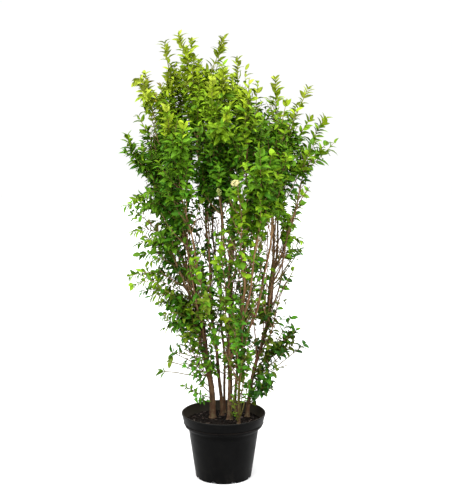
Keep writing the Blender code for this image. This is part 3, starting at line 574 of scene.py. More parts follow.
class LeafBatch:
    # the leaves of one tone

    def __init__(self):
        self.rows = {name: [] for name in leafPatterns}

    def add(self, kind, root, direction, face, length, width, droop):
        self.rows[kind].append((*root, *direction, *face, length, width, droop))

    def total(self):
        return sum(len(rows) for rows in self.rows.values())

    def parts(self, most=4500):
        # the same leaves in batches small enough for one piece each
        count = math.ceil(self.total() / most)
        made = [LeafBatch() for _ in range(count)]
        for kind, rows in self.rows.items():
            for n, part in enumerate(made):
                part.rows[kind] = rows[n::count]
        return made

    def piece(self, name):
        places, uvs, threes, fours, count = [], [], [], [], 0
        for kind, rows in self.rows.items():
            if not rows:
                continue
            pattern, tri, quad = leafPatterns[kind]
            data = np.array(rows)
            root, direction, face = data[:, 0:3], data[:, 3:6], data[:, 6:9]
            length, width, droop = data[:, 9, None, None], data[:, 10, None, None], data[:, 11, None]
            across = np.cross(face, direction)
            across /= np.linalg.norm(across, axis=1)[:, None]
            face = np.cross(direction, across)
            side, rise, along = pattern[:, 0], pattern[:, 1], pattern[:, 2]
            # the blade arches over towards its point
            bend = droop * along[None, :]
            forward = along[None, :] * np.cos(bend)
            lift = rise[None, :] - along[None, :] * np.sin(bend)
            made = root[:, None, :] + length * (
                direction[:, None, :] * forward[:, :, None]
                + across[:, None, :] * (side[None, :, None] * width)
                + face[:, None, :] * lift[:, :, None])
            places.append(made.reshape(-1, 3))
            half = np.abs(side).max()
            flat = np.stack([0.5 + 0.5 * side / half, along], axis=1)
            # each leaf's own step of brightness, 0 to 3, is added to the map's first number, doubled
            step = np.repeat((np.arange(len(data)) * 7 + len(data) // 3) % 11 % 4, len(pattern))
            uvs.append(np.tile(flat, (len(data), 1)) + np.stack([2.0 * step, 0.0 * step], axis=1))
            starts = count + np.arange(len(data))[:, None, None] * len(pattern)
            threes.append((starts + tri[None]).reshape(-1, 3))
            fours.append((starts + quad[None]).reshape(-1, 4))
            count += len(data) * len(pattern)
        made = joinedMesh(name, np.concatenate(places), [np.concatenate(threes), np.concatenate(fours)],
                          np.concatenate(uvs))
        smoothByAngle(made, 50)
        return made


# Foliage: opposite twigs, then opposite leaves, each pair a quarter turn from the one below, as in
# the source, and carried on to finer twigs with life-size leaves

habits = {  # by how high a mass reaches; lengths in metres
    "crown": dict(above=1.0, spear=0.105, gap=0.032, length=0.158, lift=1.25, fine=0.66,
                  leaf=0.0320, pair=0.0118),
    "middle": dict(above=0.64, spear=0.050, gap=0.035, length=0.125, lift=0.65, fine=0.60,
                   leaf=0.0285, pair=0.0135),
    "low": dict(above=0.0, spear=0.025, gap=0.030, length=0.095, lift=0.50, fine=0.60,
                leaf=0.0245, pair=0.0128),
}
foliage = {
    "firstTwig": 0.02,  # from a mass's start
    "twigAngle": math.radians(41),
    "twigLengths": (0.6, 1.1),
    "twigLifts": (0.6, 1.3),
    "fineGap": 0.034,  # between two pairs of second twigs
    "fineStretch": 0.58,  # share of a first twig that counts for them
    "finePlaces": (0.20, 0.50),  # share of it where they start, and over which they stand
    "fineLength": 0.42,  # of the twig that carries them
    "fineLengths": (0.7, 1.15),
    "leafSpread": math.radians(62),
    "leafClosing": math.radians(34),
    "leafTwist": 0.46,  # how far a blade may turn about its own midrib
    "leafyEnd": 0.34,
    "leavesFrom": (0.16, 0.20, 0.16),  # share of a mass's own stem, of first and of second twigs without leaves
    "tipLeaf": 0.25,  # how much smaller the leaves get towards a tip
    "leaderLean": 0.55,
    "leaderHeight": 1.02,
    "leaderSize": 1.20,
    "leaderPairs": 0.90,  # closer pairs over the last stretch of a leading shoot
    "leaderStretch": 0.17,
    "ovalShares": ((0.30, 0.95), (0.85, 0.80), (1.00, 0.55), (1.14, 0.20), (1.30, 0.05)),  # by height
    "ovalLeft": ((-0.20, -0.08), (0.3, 1.0)),  # and fewer on the left
    "leaderSwing": 0.55,  # a leading shoot's pairs lie in two rows, turned this far to and fro
    "faceAlong": 0.7,
    "faceUp": 0.70,
    "faceOut": 0.35,  # blades turn their upper side towards the light around the shrub
    "faceAside": 0.50,
    "leafRoom": 0.016,  # twigs stop this far inside the crown's outline
    "leafPast": 0.008,  # and leaves this far outside it
    "box": 0.012,  # nothing stands further than this outside the CAD's box
    "floor": 0.200,  # nor lower than this
    "kept": 0.35,  # share of its leading shoots' leaves that a mass keeps where the photo shows sky
    "twigStep": 0.012,
    "twigWander": 0.03,
    "twigRadius": (0.0018, 0.0010),  # at the foot at most: first twigs, second twigs
    "twigTip": 0.0005,
    "bareHeight": 1.30,  # above it no twig grows on into an opening
    "forkLength": 0.060,  # longer first twigs carry second ones
    "missing": 0.05,  # share of leaves that have dropped
    "between": 0.75,  # share of places on a leading shoot's end that hold a small leaf between the pairs
    "betweenLeaf": (1.1, 0.8, 0.72),  # its turn round the shoot, spread and size beside the pair's
    "leafSize": (0.80, 1.12),
    "leafWidth": (0.92, 1.20),
    "leafDroop": (0.20, 0.75),
}
crownOutline = (  # height, and how far the foliage stands out there to the left, right, front and back
    (0.2, -0.09, 0.12, -0.1, 0.1), (0.3, -0.118, 0.152, -0.11, 0.12),
    (0.38, -0.17, 0.2, -0.13, 0.15), (0.46, -0.172, 0.25, -0.16, 0.18),
    (0.52, -0.182, 0.232, -0.185, 0.2), (0.58, -0.198, 0.185, -0.195, 0.21),
    (0.64, -0.285, 0.17, -0.2, 0.215), (0.7, -0.305, 0.185, -0.205, 0.23),
    (0.76, -0.3, 0.232, -0.21, 0.24), (0.83, -0.3, 0.22, -0.22, 0.25),
    (0.9, -0.315, 0.212, -0.245, 0.26), (0.96, -0.285, 0.24, -0.285, 0.275),
    (1.02, -0.275, 0.272, -0.305, 0.3), (1.08, -0.325, 0.292, -0.31, 0.31),
    (1.14, -0.298, 0.29, -0.3, 0.305), (1.19, -0.246, 0.25, -0.28, 0.295),
    (1.24, -0.23, 0.195, -0.26, 0.28), (1.28, -0.218, 0.165, -0.235, 0.262),
    (1.32, -0.202, 0.105, -0.215, 0.24), (1.37, -0.188, 0.055, -0.18, 0.215),
    (1.44, -0.186, 0.0, -0.12, 0.12), (1.5, -0.15, -0.1, -0.08, 0.08),
)
openingRows = [  # where the photo shows sky through the shrub: across, height and half sizes in millimetres,
    # and how many of a hundred leaves are kept there
    (-65, 1424, 19, 26, 5), (-55, 1418, 16, 23, -20), (-46, 1385, 20, 30, 20), (-36, 1380, 16, 33, 35),
    (-176, 1374, 22, 26, 40), (-33, 1374, 16, 20, -10), (-24, 1374, 19, 23, 15), (-24, 1368, 22, 26, 30),
    (75, 1345, 22, 28, 15), (81, 1343, 19, 26, 5), (78, 1324, 26, 30, -10), (120, 1300, 30, 28, 12),
    (123, 1260, 38, 40, 30), (212, 1254, 26, 33, 30), (212, 1235, 29, 20, 30), (85, 1229, 26, 26, 60),
    (168, 1229, 29, 20, 40), (187, 1229, 22, 23, 60), (177, 1222, 22, 26, 50), (184, 1222, 19, 20, 10),
    (235, 1219, 19, 20, 20), (-286, 1216, 26, 86, 35), (-283, 1216, 26, 30, 25), (-235, 1216, 26, 36, 40),
    (149, 1216, 32, 26, 50), (251, 1216, 38, 40, 40), (212, 1215, 22, 36, 25), (-248, 1203, 26, 30, 10),
    (-277, 1178, 19, 20, 20), (219, 1178, 22, 26, 45), (-290, 1171, 22, 26, 30), (-235, 1171, 26, 30, 40),
    (232, 1168, 22, 23, 5), (212, 1150, 20, 30, 40), (278, 1126, 19, 30, 10), (335, 1117, 22, 20, 10),
    (285, 1065, 26, 17, 20), (327, 1056, 32, 26, 10), (315, 991, 29, 50, -20), (-134, 988, 29, 26, 50),
    (235, 988, 28, 20, 35), (-286, 965, 22, 20, 10), (208, 965, 22, 33, 35), (234, 965, 26, 30, 25),
    (266, 965, 19, 26, 10), (-283, 958, 29, 26, 45), (221, 958, 26, 26, 40), (-290, 932, 26, 26, 30),
    (-122, 916, 42, 29, 35), (44, 916, 13, 26, 40), (235, 916, 26, 26, 35), (-31, 913, 19, 30, 20),
    (241, 900, 29, 46, -10), (21, 880, 22, 46, 50), (-245, 873, 32, 26, 50), (-21, 864, 16, 30, -20),
    (-239, 860, 32, 33, -10), (-232, 860, 29, 20, 0), (-80, 860, 26, 69, 25), (-232, 854, 22, 40, 45),
    (-67, 847, 26, 43, 3), (-28, 841, 23, 66, 20), (-272, 827, 22, 33, 30), (-83, 814, 19, 40, 10),
    (185, 810, 20, 40, 50), (161, 801, 26, 79, -5), (164, 801, 22, 59, -30), (-109, 798, 26, 30, 35),
    (55, 790, 30, 30, 45), (21, 781, 29, 99, 45), (128, 781, 23, 33, 25), (190, 781, 26, 26, 30),
    (1, 768, 26, 86, 50), (41, 768, 23, 46, 25), (83, 768, 20, 33, 30), (132, 768, 19, 86, 40),
    (-129, 765, 19, 26, -25), (-155, 755, 26, 46, 30), (28, 751, 19, 53, 20), (-139, 748, 32, 99, 50),
    (-135, 748, 22, 30, 20), (80, 748, 19, 33, 30), (178, 748, 26, 53, 10), (184, 748, 26, 46, -35),
    (60, 730, 80, 110, 50), (-142, 728, 26, 46, 20), (-123, 728, 45, 59, 65), (-119, 728, 29, 86, 30),
    (-12, 728, 186, 132, 68), (28, 728, 19, 73, 35), (178, 728, 29, 53, 10), (178, 728, 32, 46, 40),
    (188, 728, 26, 40, -10), (-77, 725, 20, 33, 45), (217, 715, 29, 30, 0), (-195, 708, 35, 66, 50),
    (-175, 708, 22, 46, 40), (-129, 708, 29, 86, 35), (175, 708, 23, 30, 35), (-234, 702, 26, 26, 40),
    (-208, 702, 45, 46, 80), (-60, 700, 50, 90, 65), (181, 695, 26, 26, -20), (28, 688, 16, 43, 45),
    (-241, 682, 51, 40, 55), (-188, 662, 29, 26, 45), (-93, 662, 22, 99, 30), (-205, 655, 26, 33, 35),
    (-182, 655, 26, 23, -10), (-149, 648, 38, 33, 45), (-123, 648, 19, 26, -10), (8, 648, 19, 40, 35),
    (-182, 642, 38, 26, 45), (182, 635, 29, 99, 5), (182, 635, 32, 99, 25), (-241, 628, 29, 43, 20),
    (-182, 628, 38, 33, 50), (178, 628, 29, 86, 60), (93, 615, 22, 46, 50), (-251, 601, 26, 26, 0),
    (54, 601, 19, 40, 50), (166, 601, 33, 37, 45), (166, 595, 29, 40, 25), (189, 595, 19, 23, -20),
    (185, 588, 26, 26, 20), (8, 561, 26, 33, 50), (8, 541, 22, 26, 30), (107, 527, 16, 27, 45),
    (170, 490, 29, 26, 20), (-68, 449, 16, 46, 30), (-5, 449, 20, 41, 45), (-210, 432, 26, 26, 20),
    (-184, 432, 32, 23, 40), (220, 405, 22, 20, 10), (-131, 398, 29, 46, 35), (-131, 391, 32, 40, 5),
    (176, 390, 26, 22, 35), (-118, 388, 30, 27, 15), (187, 385, 38, 30, -10), (174, 378, 29, 30, 30),
    (184, 378, 29, 30, 45), (1, 302, 19, 33, 30), (128, 288, 26, 26, 55), (128, 275, 22, 20, 20),
]
openings = [(x / 1000, z / 1000, wide / 1000, high / 1000, keep / 100)
            for x, z, wide, high, keep in openingRows]
massChanges = {  # bow: how far the middle of a mass's own stem is pushed sideways; the rest multiply its habit
    "left": dict(bow=(0.014, 0.0)),
    "inner_left": dict(bow=(0.020, 0.0)),
    "centre": dict(bow=(-0.060, 0.0)),
    "crown_left": dict(bow=(0.050, 0.010)),
    "waist_left": dict(length=1.45, gap=1.10, leaf=1.08),
    "middle_left": dict(length=1.35, gap=0.95, leaf=1.08),
    "far_left": dict(length=1.25, gap=0.9),
    "far_right": dict(length=1.2),
    "upper_right": dict(length=1.15),
    "middle_right": dict(gap=2.2, fine=0.6),
    "waist_right": dict(gap=2.2, fine=0.6),
    "low_right_crown": dict(gap=1.3),
    "middle_front": dict(gap=1.9, fine=0.5),
    "waist_front": dict(gap=2.4, fine=0.5),
    "low_front": dict(gap=2.2, fine=0.5),
    "low_left": dict(gap=0.9, length=1.2),
    "front_centre": dict(length=1.3, lift=0.6),
    "front_right": dict(length=1.3, lift=0.6),
    "back_crown": dict(length=1.2, lift=0.7),
}
tones = {  # colour on screen under plain light, roughness, slot
    "pale": ((130, 144, 38), 0.52, "leaf_bright"),
    "lime": ((118, 138, 18), 0.50, "leaf_bright"),
    "fresh": ((96, 126, 10), 0.48, "leaf_bright"),
    "green": ((70, 108, 8), 0.46, "leaf_green"),
    "leafGreen": ((48, 92, 7), 0.44, "leaf_green"),
    "deep": ((24, 60, 2), 0.42, "leaf_dark"),
    "olive": ((88, 108, 20), 0.46, "leaf_green"),
    "darkOlive": ((64, 78, 10), 0.42, "leaf_dark"),
    "yellowed": ((142, 132, 44), 0.54, "leaf_bright"),
    "russet": ((150, 104, 48), 0.56, "leaf_green"),
}
twigColours = {  # dark and light streaks
    "canes": ((76, 54, 37), (128, 98, 70)),
    "oldTwigs": ((70, 50, 34), (116, 90, 64)),
    "youngTwigs": ((92, 67, 43), (132, 104, 70)),
    "greenTwigs": ((68, 58, 29), (92, 88, 40)),
}
toneOrder = ["deep", "leafGreen", "green", "fresh", "lime", "pale"]
lowToneOrders = {
    "left": ["darkOlive", "leafGreen", "leafGreen", "green", "olive", "fresh"],
    "middle": ["deep", "leafGreen", "darkOlive", "green", "leafGreen", "fresh"],
    "right": ["deep", "deep", "darkOlive", "darkOlive", "leafGreen", "green"],
}
leafBatches = {name: LeafBatch() for name in tones}
leafNodes = {name: set() for name in tones}
twigBatches = {name: TubeBatch() for name in twigColours}
outlineHeights, *outlineReach = zip(*crownOutline)
boxLow = cadLow - Vector((1, 1, 0)) * foliage["box"]
boxHigh = cadHigh + Vector((1, 1, 1)) * foliage["box"]


def inBox(point):
    inside = all(low <= value <= high for low, value, high in zip(boxLow, point, boxHigh))
    return inside and point.z > foliage["floor"]


def reachOf(point, spare):
    # 1 on the crown's outline widened by spare, less inside it
    left, right, front, back = (float(np.interp(point.z, outlineHeights, column)) for column in outlineReach)
    across = (point.x - (left + right) / 2) / ((right - left) / 2 + spare)
    return math.hypot(across, (point.y - (front + back) / 2) / ((back - front) / 2 + spare))


def openness(point):
    # how much foliage is kept there, as the photo's camera sees it
    eye = Vector(shot["cameraPlace"])
    part = -eye.y / (point.y - eye.y)
    x, z = eye.x + (point.x - eye.x) * part, eye.z + (point.z - eye.z) * part
    kept = [keep for ox, oz, wide, high, keep in openings if math.hypot((x - ox) / wide, (z - oz) / high) < 1]
    return min(kept, default=1.0)


def rollTowards(direction, wanted):
    # the roll that turns turnedAside as near as can be to the wanted way
    first = direction.orthogonal().normalized()
    return math.atan2(direction.dot(first.cross(wanted)), first.dot(wanted))


def turnedAside(direction, roll, angle):
    side = Matrix.Rotation(roll, 3, direction) @ direction.orthogonal().normalized()
    return (direction * math.cos(angle) + side * math.sin(angle)).normalized()


toneRule = {  # steps are places in toneOrder, or in a low order
    # painted light and shade by height: the top's brighter steps are partly the leaves' own yellower green and
    # partly painted light, and the dip near 1.0 to 1.1 m is painted shade under the top
    "byHeight": ((0.62, 2.1), (0.90, 2.0), (1.00, 1.6), (1.10, 1.7), (1.20, 2.8), (1.25, 3.4), (1.30, 4.0),
                 (1.40, 4.6), (1.50, 4.9)),
    "warmPlace": (-0.25, 1.29, 0.05),  # across, height and radius of the place with yellowed leaves
    "yellowed": (0.30, 0.0004),  # their share there and elsewhere
    "lowHeight": 0.66,  # the low orders hold below it
    "lowStep": (2.4, 1.8, 1.0),  # at a shoot's foot, more at its tip, spread
    "lowSides": (-0.02, 0.11),  # where the left order ends and the right one starts
    "lowRightHeight": 0.56,
    # painted light: leaves towards the crown's outer reach are made brighter
    "outside": (0.75, 0.55, 0.45),  # brighter by this, from this share of the crown's reach, over this much
    "tip": (0.9, 0.4),  # brighter at a shoot's tip, and how much less so in the top
    # painted shade: leaves deep in the crown's middle are made darker
    "middle": (0.9, 0.6, 0.6),  # darker in the crown's middle, how much less so in the top, reach where it ends
    "spread": 0.42,
    "topHeights": (1.05, 1.22),
    # painted shade: a darker band of leaves between these heights
    "paintedShadeBand": ((0.95, 1.05), (0.25, 0.0)),  # darker between these heights
    "brightest": ((0.95, 1.12), (3.2, 5.9)),  # highest step at these heights
}


def stepOf(order, level):
    return order[int(min(max(level, 0.0), len(order) - 1))]


def toneOf(point, tipShare, rng):
    # the leaves' own colour by place with painted light and shade on it: brighter towards the top (a yellower green
    # and painted light), the sides (painted light) and the ends of the shoots, darkest in the middle of the crown
    # (painted shade)
    warmX, warmZ, warmRadius = toneRule["warmPlace"]
    there, elsewhere = toneRule["yellowed"]
    if rng.random() < (there if math.hypot(point.x - warmX, point.z - warmZ) < warmRadius else elsewhere):
        return rng.choice(("yellowed",) * 9 + ("russet",))
    if point.z < toneRule["lowHeight"]:
        foot, tip, spread = toneRule["lowStep"]
        left, right = toneRule["lowSides"]
        where = "middle"
        if point.x < left:
            where = "left"
        elif point.x > right and point.z < toneRule["lowRightHeight"]:
            where = "right"
        return stepOf(lowToneOrders[where], foot + tip * tipShare + rng.gauss(0.0, spread))
    reach = reachOf(point, 0.0)
    top = float(np.interp(point.z, toneRule["topHeights"], (0.0, 1.0)))
    brighter, start, over = toneRule["outside"]
    level = float(np.interp(point.z, *zip(*toneRule["byHeight"]))) + brighter * max(0.0, reach - start) / over
    tip, tipLess = toneRule["tip"]
    darker, darkerLess, end = toneRule["middle"]
    level += ((tip - tipLess * top) * tipShare - (darker - darkerLess * top) * max(0.0, end - reach)
              + rng.gauss(0.0, toneRule["spread"]))
    # painted shade in the band between these heights
    level -= float(np.interp(point.z, *toneRule["paintedShadeBand"]))
    return stepOf(toneOrder, min(level, float(np.interp(point.z, *toneRule["brightest"]))))


class Mass:
    # one mass of foliage on its own stem

    def __init__(self, name, line, start, footRadius):
        self.name, self.line, self.start, self.footRadius = name, line, start, footRadius
        self.rng = random.Random(f"privet scene {name}")
        self.changes = massChanges.get(name, {})
        self.kept = foliage["kept"]
        self.habit = dict(next(habit for habit in habits.values() if line.points[-1].z > habit["above"]))
        for key in ("length", "gap", "lift", "fine", "leaf"):
            self.habit[key] *= self.changes.get(key, 1.0)

    def radius(self, share):
        return limbRadius(self.footRadius, self.start + (1 - self.start) * share)

    def grow(self):
        stem = [self.line.at(self.start + (1 - self.start) * k / 24) for k in range(25)]
        stem.append(stem[-1] + self.line.along(1.0) * (cadTipReach - limbs["leafTipReach"]))
        bow = Vector((*self.changes.get("bow", (0.0, 0.0)), 0.0))
        stem = [point + bow * math.sin(math.pi * k / 25) for k, point in enumerate(stem)]
        own = Line(stem)
        if self.name in sideLimbs:
            marks = [k / 16 for k in range(17)]
            twigBatches["youngTwigs" if stem[-1].z > habits["crown"]["above"] else "oldTwigs"].add(
                [own.at(m) for m in marks], [self.radius(m) for m in marks[:-1]] + [0.0006], 6)
        run = own.length - self.habit["spear"]
        pairs = max(2, round(run / self.habit["gap"]))
        roll = self.rng.uniform(0, math.pi)
        for k in range(pairs):
            share = (foliage["firstTwig"] + run * (k + 0.4) / pairs) / own.length
            left = (1 - share) * own.length
            for side in (0, math.pi):
                size = min(self.habit["length"], 0.5 * left + 0.02) * self.rng.uniform(*foliage["twigLengths"])
                self.twig(own, share, roll + side, size, self.radius(share), 1)
            roll += math.pi / 2
        # leaves stand on the stem itself only towards its end
        self.leafPairs(own, max(foliage["leavesFrom"][0], 1 - foliage["leafyEnd"] / own.length), roll, True)

    def twig(self, carrier, share, roll, length, radius, order):
        direction = carrier.along(share)
        away = turnedAside(direction, roll + self.rng.uniform(-0.35, 0.35),
                           foliage["twigAngle"] * self.rng.uniform(0.8, 1.2))
        root = carrier.at(share)
        lift = self.habit["lift"] * self.rng.uniform(*foliage["twigLifts"])
        points, heading, steps = [root], away, max(3, round(length / foliage["twigStep"]))
        for n in range(steps):
            wander = Vector(self.rng.gauss(0, foliage["twigWander"]) for _ in range(3))
            heading = (heading + up * lift / steps + wander).normalized()
            following = points[-1] + heading * length / steps
            bare = following.z > foliage["bareHeight"] and openness(following) < 0.5
            if n > 1 and (bare or reachOf(following, -foliage["leafRoom"]) > 1 or not inBox(following)):
                break
            points.append(following)
        own = Line(points)
        thick = min(0.75 * radius, foliage["twigRadius"][order - 1])
        radii = [thick + (foliage["twigTip"] - thick) * k / (len(points) - 1) for k in range(len(points))]
        twigBatches["youngTwigs" if order == 1 else "greenTwigs"].add(points, radii, 5 if order == 1 else 4)
        if order == 1 and own.length > foliage["forkLength"]:
            fine = max(1, round(foliage["fineStretch"] * own.length / foliage["fineGap"]))
            turn = self.rng.uniform(0, math.pi)
            start, over = foliage["finePlaces"]
            for k in range(fine):
                part = start + over * (k + 0.3) / fine
                for side in (0, math.pi):
                    if self.rng.random() < self.habit["fine"]:
                        size = foliage["fineLength"] * own.length * self.rng.uniform(*foliage["fineLengths"])
                        self.twig(own, part, turn + side, size, thick, 2)
                turn += math.pi / 2
        self.leafPairs(own, foliage["leavesFrom"][order], self.rng.uniform(0, math.pi), False)

    def leafPairs(self, line, first, roll, leader):
        marks, place = [], line.length
        while place > first * line.length:
            marks.append(place / line.length)
            close = leader and line.length - place < foliage["leaderStretch"]
            place -= self.habit["pair"] * (foliage["leaderPairs"] if close else 1.0)
        tone = toneOf(line.at(0.6), 0.2, self.rng)
        lean = self.rng.gauss(0, foliage["leaderLean"])
        upright = line.along(0.6).z > 0.75
        row = Vector((math.cos(lean), math.sin(lean), 0.0)) if upright else up + Vector((0.0, 0.5 * lean, 0.0))
        for k, share in enumerate(reversed(marks)):
            point, direction = line.at(share), line.along(share)
            if leader:
                roll = rollTowards(direction, row) + foliage["leaderSwing"] * (1 if k % 2 else -1)
            spread = foliage["leafSpread"] - foliage["leafClosing"] * share ** 2.5
            tall = leader and point.z > foliage["leaderHeight"]
            size = self.habit["leaf"] * (1.0 - foliage["tipLeaf"] * share ** 6)
            size *= foliage["leaderSize"] if tall else 1.0
            close = tall and (1 - share) * line.length < foliage["leaderStretch"]
            if share > 0.4 and k % 2:
                tone = toneOf(point, share, self.rng)
            for side in (0, math.pi):
                if self.rng.random() > foliage["missing"]:
                    self.leaf(point, direction, roll + side, spread, size, tone, leader)
                if close and self.rng.random() > 1 - foliage["between"]:
                    turn, narrow, small = foliage["betweenLeaf"]
                    self.leaf(point, direction, roll + side + turn, narrow * spread, small * size, tone, leader)
            roll += math.pi / 2 + self.rng.uniform(-0.15, 0.15)

    def leaf(self, root, direction, roll, spread, size, tone, leader):
        away = turnedAside(direction, roll + self.rng.uniform(-0.2, 0.2), spread * self.rng.uniform(0.85, 1.15))
        outward = Vector((root.x, root.y, 0.0)).normalized()
        face = foliage["faceAlong"] * direction + foliage["faceUp"] * up + foliage["faceOut"] * outward
        face += up.cross(outward) * self.rng.gauss(0, foliage["faceAside"])
        face = (face - away * face.dot(away)).normalized()
        face = Matrix.Rotation(self.rng.gauss(0, foliage["leafTwist"]) * (1.5 if leader else 1.0), 3, away) @ face
        length = size * self.rng.uniform(*foliage["leafSize"])
        tip = root + away * length
        if not inBox(tip) or (not leader and reachOf(tip, foliage["leafPast"]) > 1):
            return
        if self.rng.random() > min(openness(tip), openness(root.lerp(tip, 0.3))) + (self.kept if leader else 0.0):
            return
        share = np.interp(root.z, *zip(*foliage["ovalShares"])) * np.interp(root.x, *foliage["ovalLeft"])
        kind = "oval" if self.rng.random() < share else "spear"
        leafBatches[tone].add(kind, root, away, face, length, self.rng.uniform(*foliage["leafWidth"]),
                              self.rng.uniform(*foliage["leafDroop"]))
        leafNodes[tone].add(f"foliage_{self.name}")


def shootOn(carrier, rng, habit=None):
    # a shoot beside a limb's own mass, with its own random draws
    shoot = Mass(carrier, *limbLines[carrier])
    shoot.rng = rng
    shoot.habit = habit or shoot.habit
    return shoot


stemTufts = {  # from height to height, how many short leafy shoots, how many bare spurs
    "left": (0.36, 1.06, 17, 26),
    "inner_left": (0.34, 1.08, 15, 22),
    "slender": (0.31, 1.00, 12, 16),
    "centre": (0.31, 1.10, 22, 34),
    "right": (0.34, 1.00, 18, 22),
    "front": (0.31, 0.94, 14, 18),
    "back": (0.34, 0.96, 14, 14),
    "back_left": (0.34, 0.93, 7, 14),
    "far_right": (0.74, 1.06, 15, 2),
    "outer_right": (0.84, 1.10, 8, 4),
    "far_left": (0.80, 1.08, 10, 6),
    "front_left": (0.72, 1.00, 6, 4),
    "back_far_left": (0.72, 1.00, 8, 4),
    "back_right": (0.72, 1.00, 8, 4),
}
tuftForm = {
    "length": (0.022, 0.075),
    "lowHeight": 0.62,  # tufts grow as the low masses do below it
    "spurFoot": (0.26, 0.10),  # on a stem the spurs start here at the lowest, and this far below the tufts
    "spurAngle": (16, 52),  # degrees off the stem
    "shortShare": 0.4,
    "shortSpur": (0.010, 0.030),
    "longSpur": (0.07, 0.22),
    "spurSteps": 6,
    "spurLift": 0.08,
    "spurWander": 0.04,
    "spurRadius": (0.0009, 0.005, 0.0006),  # least at the foot, more with length, at the tip
}


def growTufts():
    for name, (low, high, tufts, spurs) in stemTufts.items():
        shoot = shootOn(name, random.Random(f"tufts {name}"))
        line, rng = shoot.line, shoot.rng
        for k in range(tufts):
            height = low + (high - low) * (k + rng.random()) / tufts
            share = line.shareAtHeight(height)
            shoot.habit = habits["low" if height < tuftForm["lowHeight"] else "middle"]
            shoot.twig(line, share, rng.uniform(0, 2 * math.pi), rng.uniform(*tuftForm["length"]),
                       limbRadius(shoot.footRadius, share), 2)
        lowest, below = tuftForm["spurFoot"]
        foot = max(lowest, low - below) if name in stems else low
        for k in range(spurs):
            share = line.shareAtHeight(foot + (high - foot) * (k + rng.random()) / spurs)
            growSpur(shoot, share)


def growSpur(shoot, share):
    rng, steps = shoot.rng, tuftForm["spurSteps"]
    thick = limbRadius(shoot.footRadius, share)
    away = turnedAside(shoot.line.along(share), rng.uniform(0, 2 * math.pi),
                       math.radians(rng.uniform(*tuftForm["spurAngle"])))
    reach = rng.uniform(*tuftForm["shortSpur" if rng.random() < tuftForm["shortShare"] else "longSpur"])
    points = [shoot.line.at(share)]
    for n in range(steps):
        wander = Vector(rng.gauss(0, tuftForm["spurWander"]) for _ in range(3))
        away = (away + up * tuftForm["spurLift"] + wander).normalized()
        following = points[-1] + away * (reach + 0.7 * thick) / steps
        if reachOf(following, 0.0) > 1.0:
            break
        points.append(following)
    least, more, tip = tuftForm["spurRadius"]
    root, count = min(0.5 * thick, least + more * reach), len(points) - 1
    if count > 1:
        twigBatches["oldTwigs"].add(points, [root + (tip - root) * n / count for n in range(count + 1)], 5)


canes = {  # slender stems: carrier, height where they leave, depth, three places they pass (across, height),
    # radius at foot and top
    "leftFront": ("left", 0.44, -0.03, ((-0.09, 0.608), (-0.118, 0.773), (-0.137, 0.878)), 0.003, 0.0015),
    "leftInner": ("left", 0.42, 0.02, ((-0.078, 0.597), (-0.094, 0.724), (-0.087, 0.857)), 0.0024, 0.0013),
    "leftBend": ("left", 0.66, -0.05, ((-0.117, 0.822), (-0.101, 0.858), (-0.066, 0.887)), 0.0022, 0.0016),
    "leftFan": ("left", 0.5, -0.02, ((-0.122, 0.652), (-0.154, 0.725), (-0.18, 0.785)), 0.0015, 0.0009),
    "leftFanLow": ("left", 0.42, 0.03, ((-0.111, 0.554), (-0.141, 0.595), (-0.16, 0.649)), 0.0014, 0.0009),
    "upright": ("inner_left", 0.36, -0.03, ((-0.044, 0.641), (-0.047, 0.822), (-0.056, 0.975)), 0.0036, 0.002),
    "uprightTwin": ("inner_left", 0.52, 0.03, ((-0.025, 0.796), (-0.041, 0.902), (-0.057, 0.974)), 0.0017, 0.0011),
    "middleMain": ("centre", 0.34, -0.05, ((0.018, 0.645), (0.018, 0.803), (0.024, 0.9)), 0.0034, 0.0019),
    "middleFork": ("centre", 0.5, -0.04, ((0.034, 0.696), (0.053, 0.775), (0.066, 0.866)), 0.002, 0.0012),
    "middleForkTwo": ("centre", 0.5, 0.0, ((0.041, 0.708), (0.037, 0.801), (0.047, 0.906)), 0.0014, 0.0009),
    "middleRight": ("centre", 0.48, -0.02, ((0.057, 0.732), (0.066, 0.804), (0.076, 0.896)), 0.0016, 0.001),
    "middleThin": ("front", 0.4, -0.08, ((0.056, 0.652), (0.043, 0.743), (0.033, 0.827)), 0.0014, 0.0009),
    "innerRight": ("right", 0.36, 0.0, ((0.093, 0.601), (0.112, 0.728), (0.128, 0.827)), 0.0024, 0.0014),
    "innerRightThin": ("front", 0.38, -0.05, ((0.112, 0.639), (0.118, 0.738), (0.104, 0.829)), 0.0015, 0.001),
    "rightPale": ("right", 0.4, -0.03, ((0.138, 0.635), (0.141, 0.754), (0.143, 0.865)), 0.002, 0.0012),
    "rightWarm": ("right", 0.4, 0.01, ((0.156, 0.626), (0.162, 0.746), (0.171, 0.852)), 0.0025, 0.0014),
    "rightAway": ("right", 0.66, -0.02, ((0.173, 0.758), (0.189, 0.781), (0.209, 0.804)), 0.0011, 0.0008),
    "backOne": ("back", 0.4, 0.09, ((-0.005, 0.616), (-0.015, 0.752), (-0.025, 0.87)), 0.002, 0.0012),
    "backTwo": ("back", 0.4, 0.1, ((0.082, 0.614), (0.088, 0.75), (0.094, 0.858)), 0.0018, 0.0011),
    "backThree": ("back_left", 0.4, 0.07, ((-0.062, 0.586), (-0.072, 0.715), (-0.104, 0.829)), 0.002, 0.0012),
}
caneForm = {
    "steps": 30,
    "wander": 0.0007,
    "jointSteps": 4,
    "jointSwell": 1.12,
    "tipRadius": 0.0006,
    "twigs": 9,
    "twigsFrom": 0.25,
    "twigsOver": 0.72,
    "twigLength": (0.030, 0.085),
    "twigRadius": 0.0014,
    "fineShare": 0.75,
}


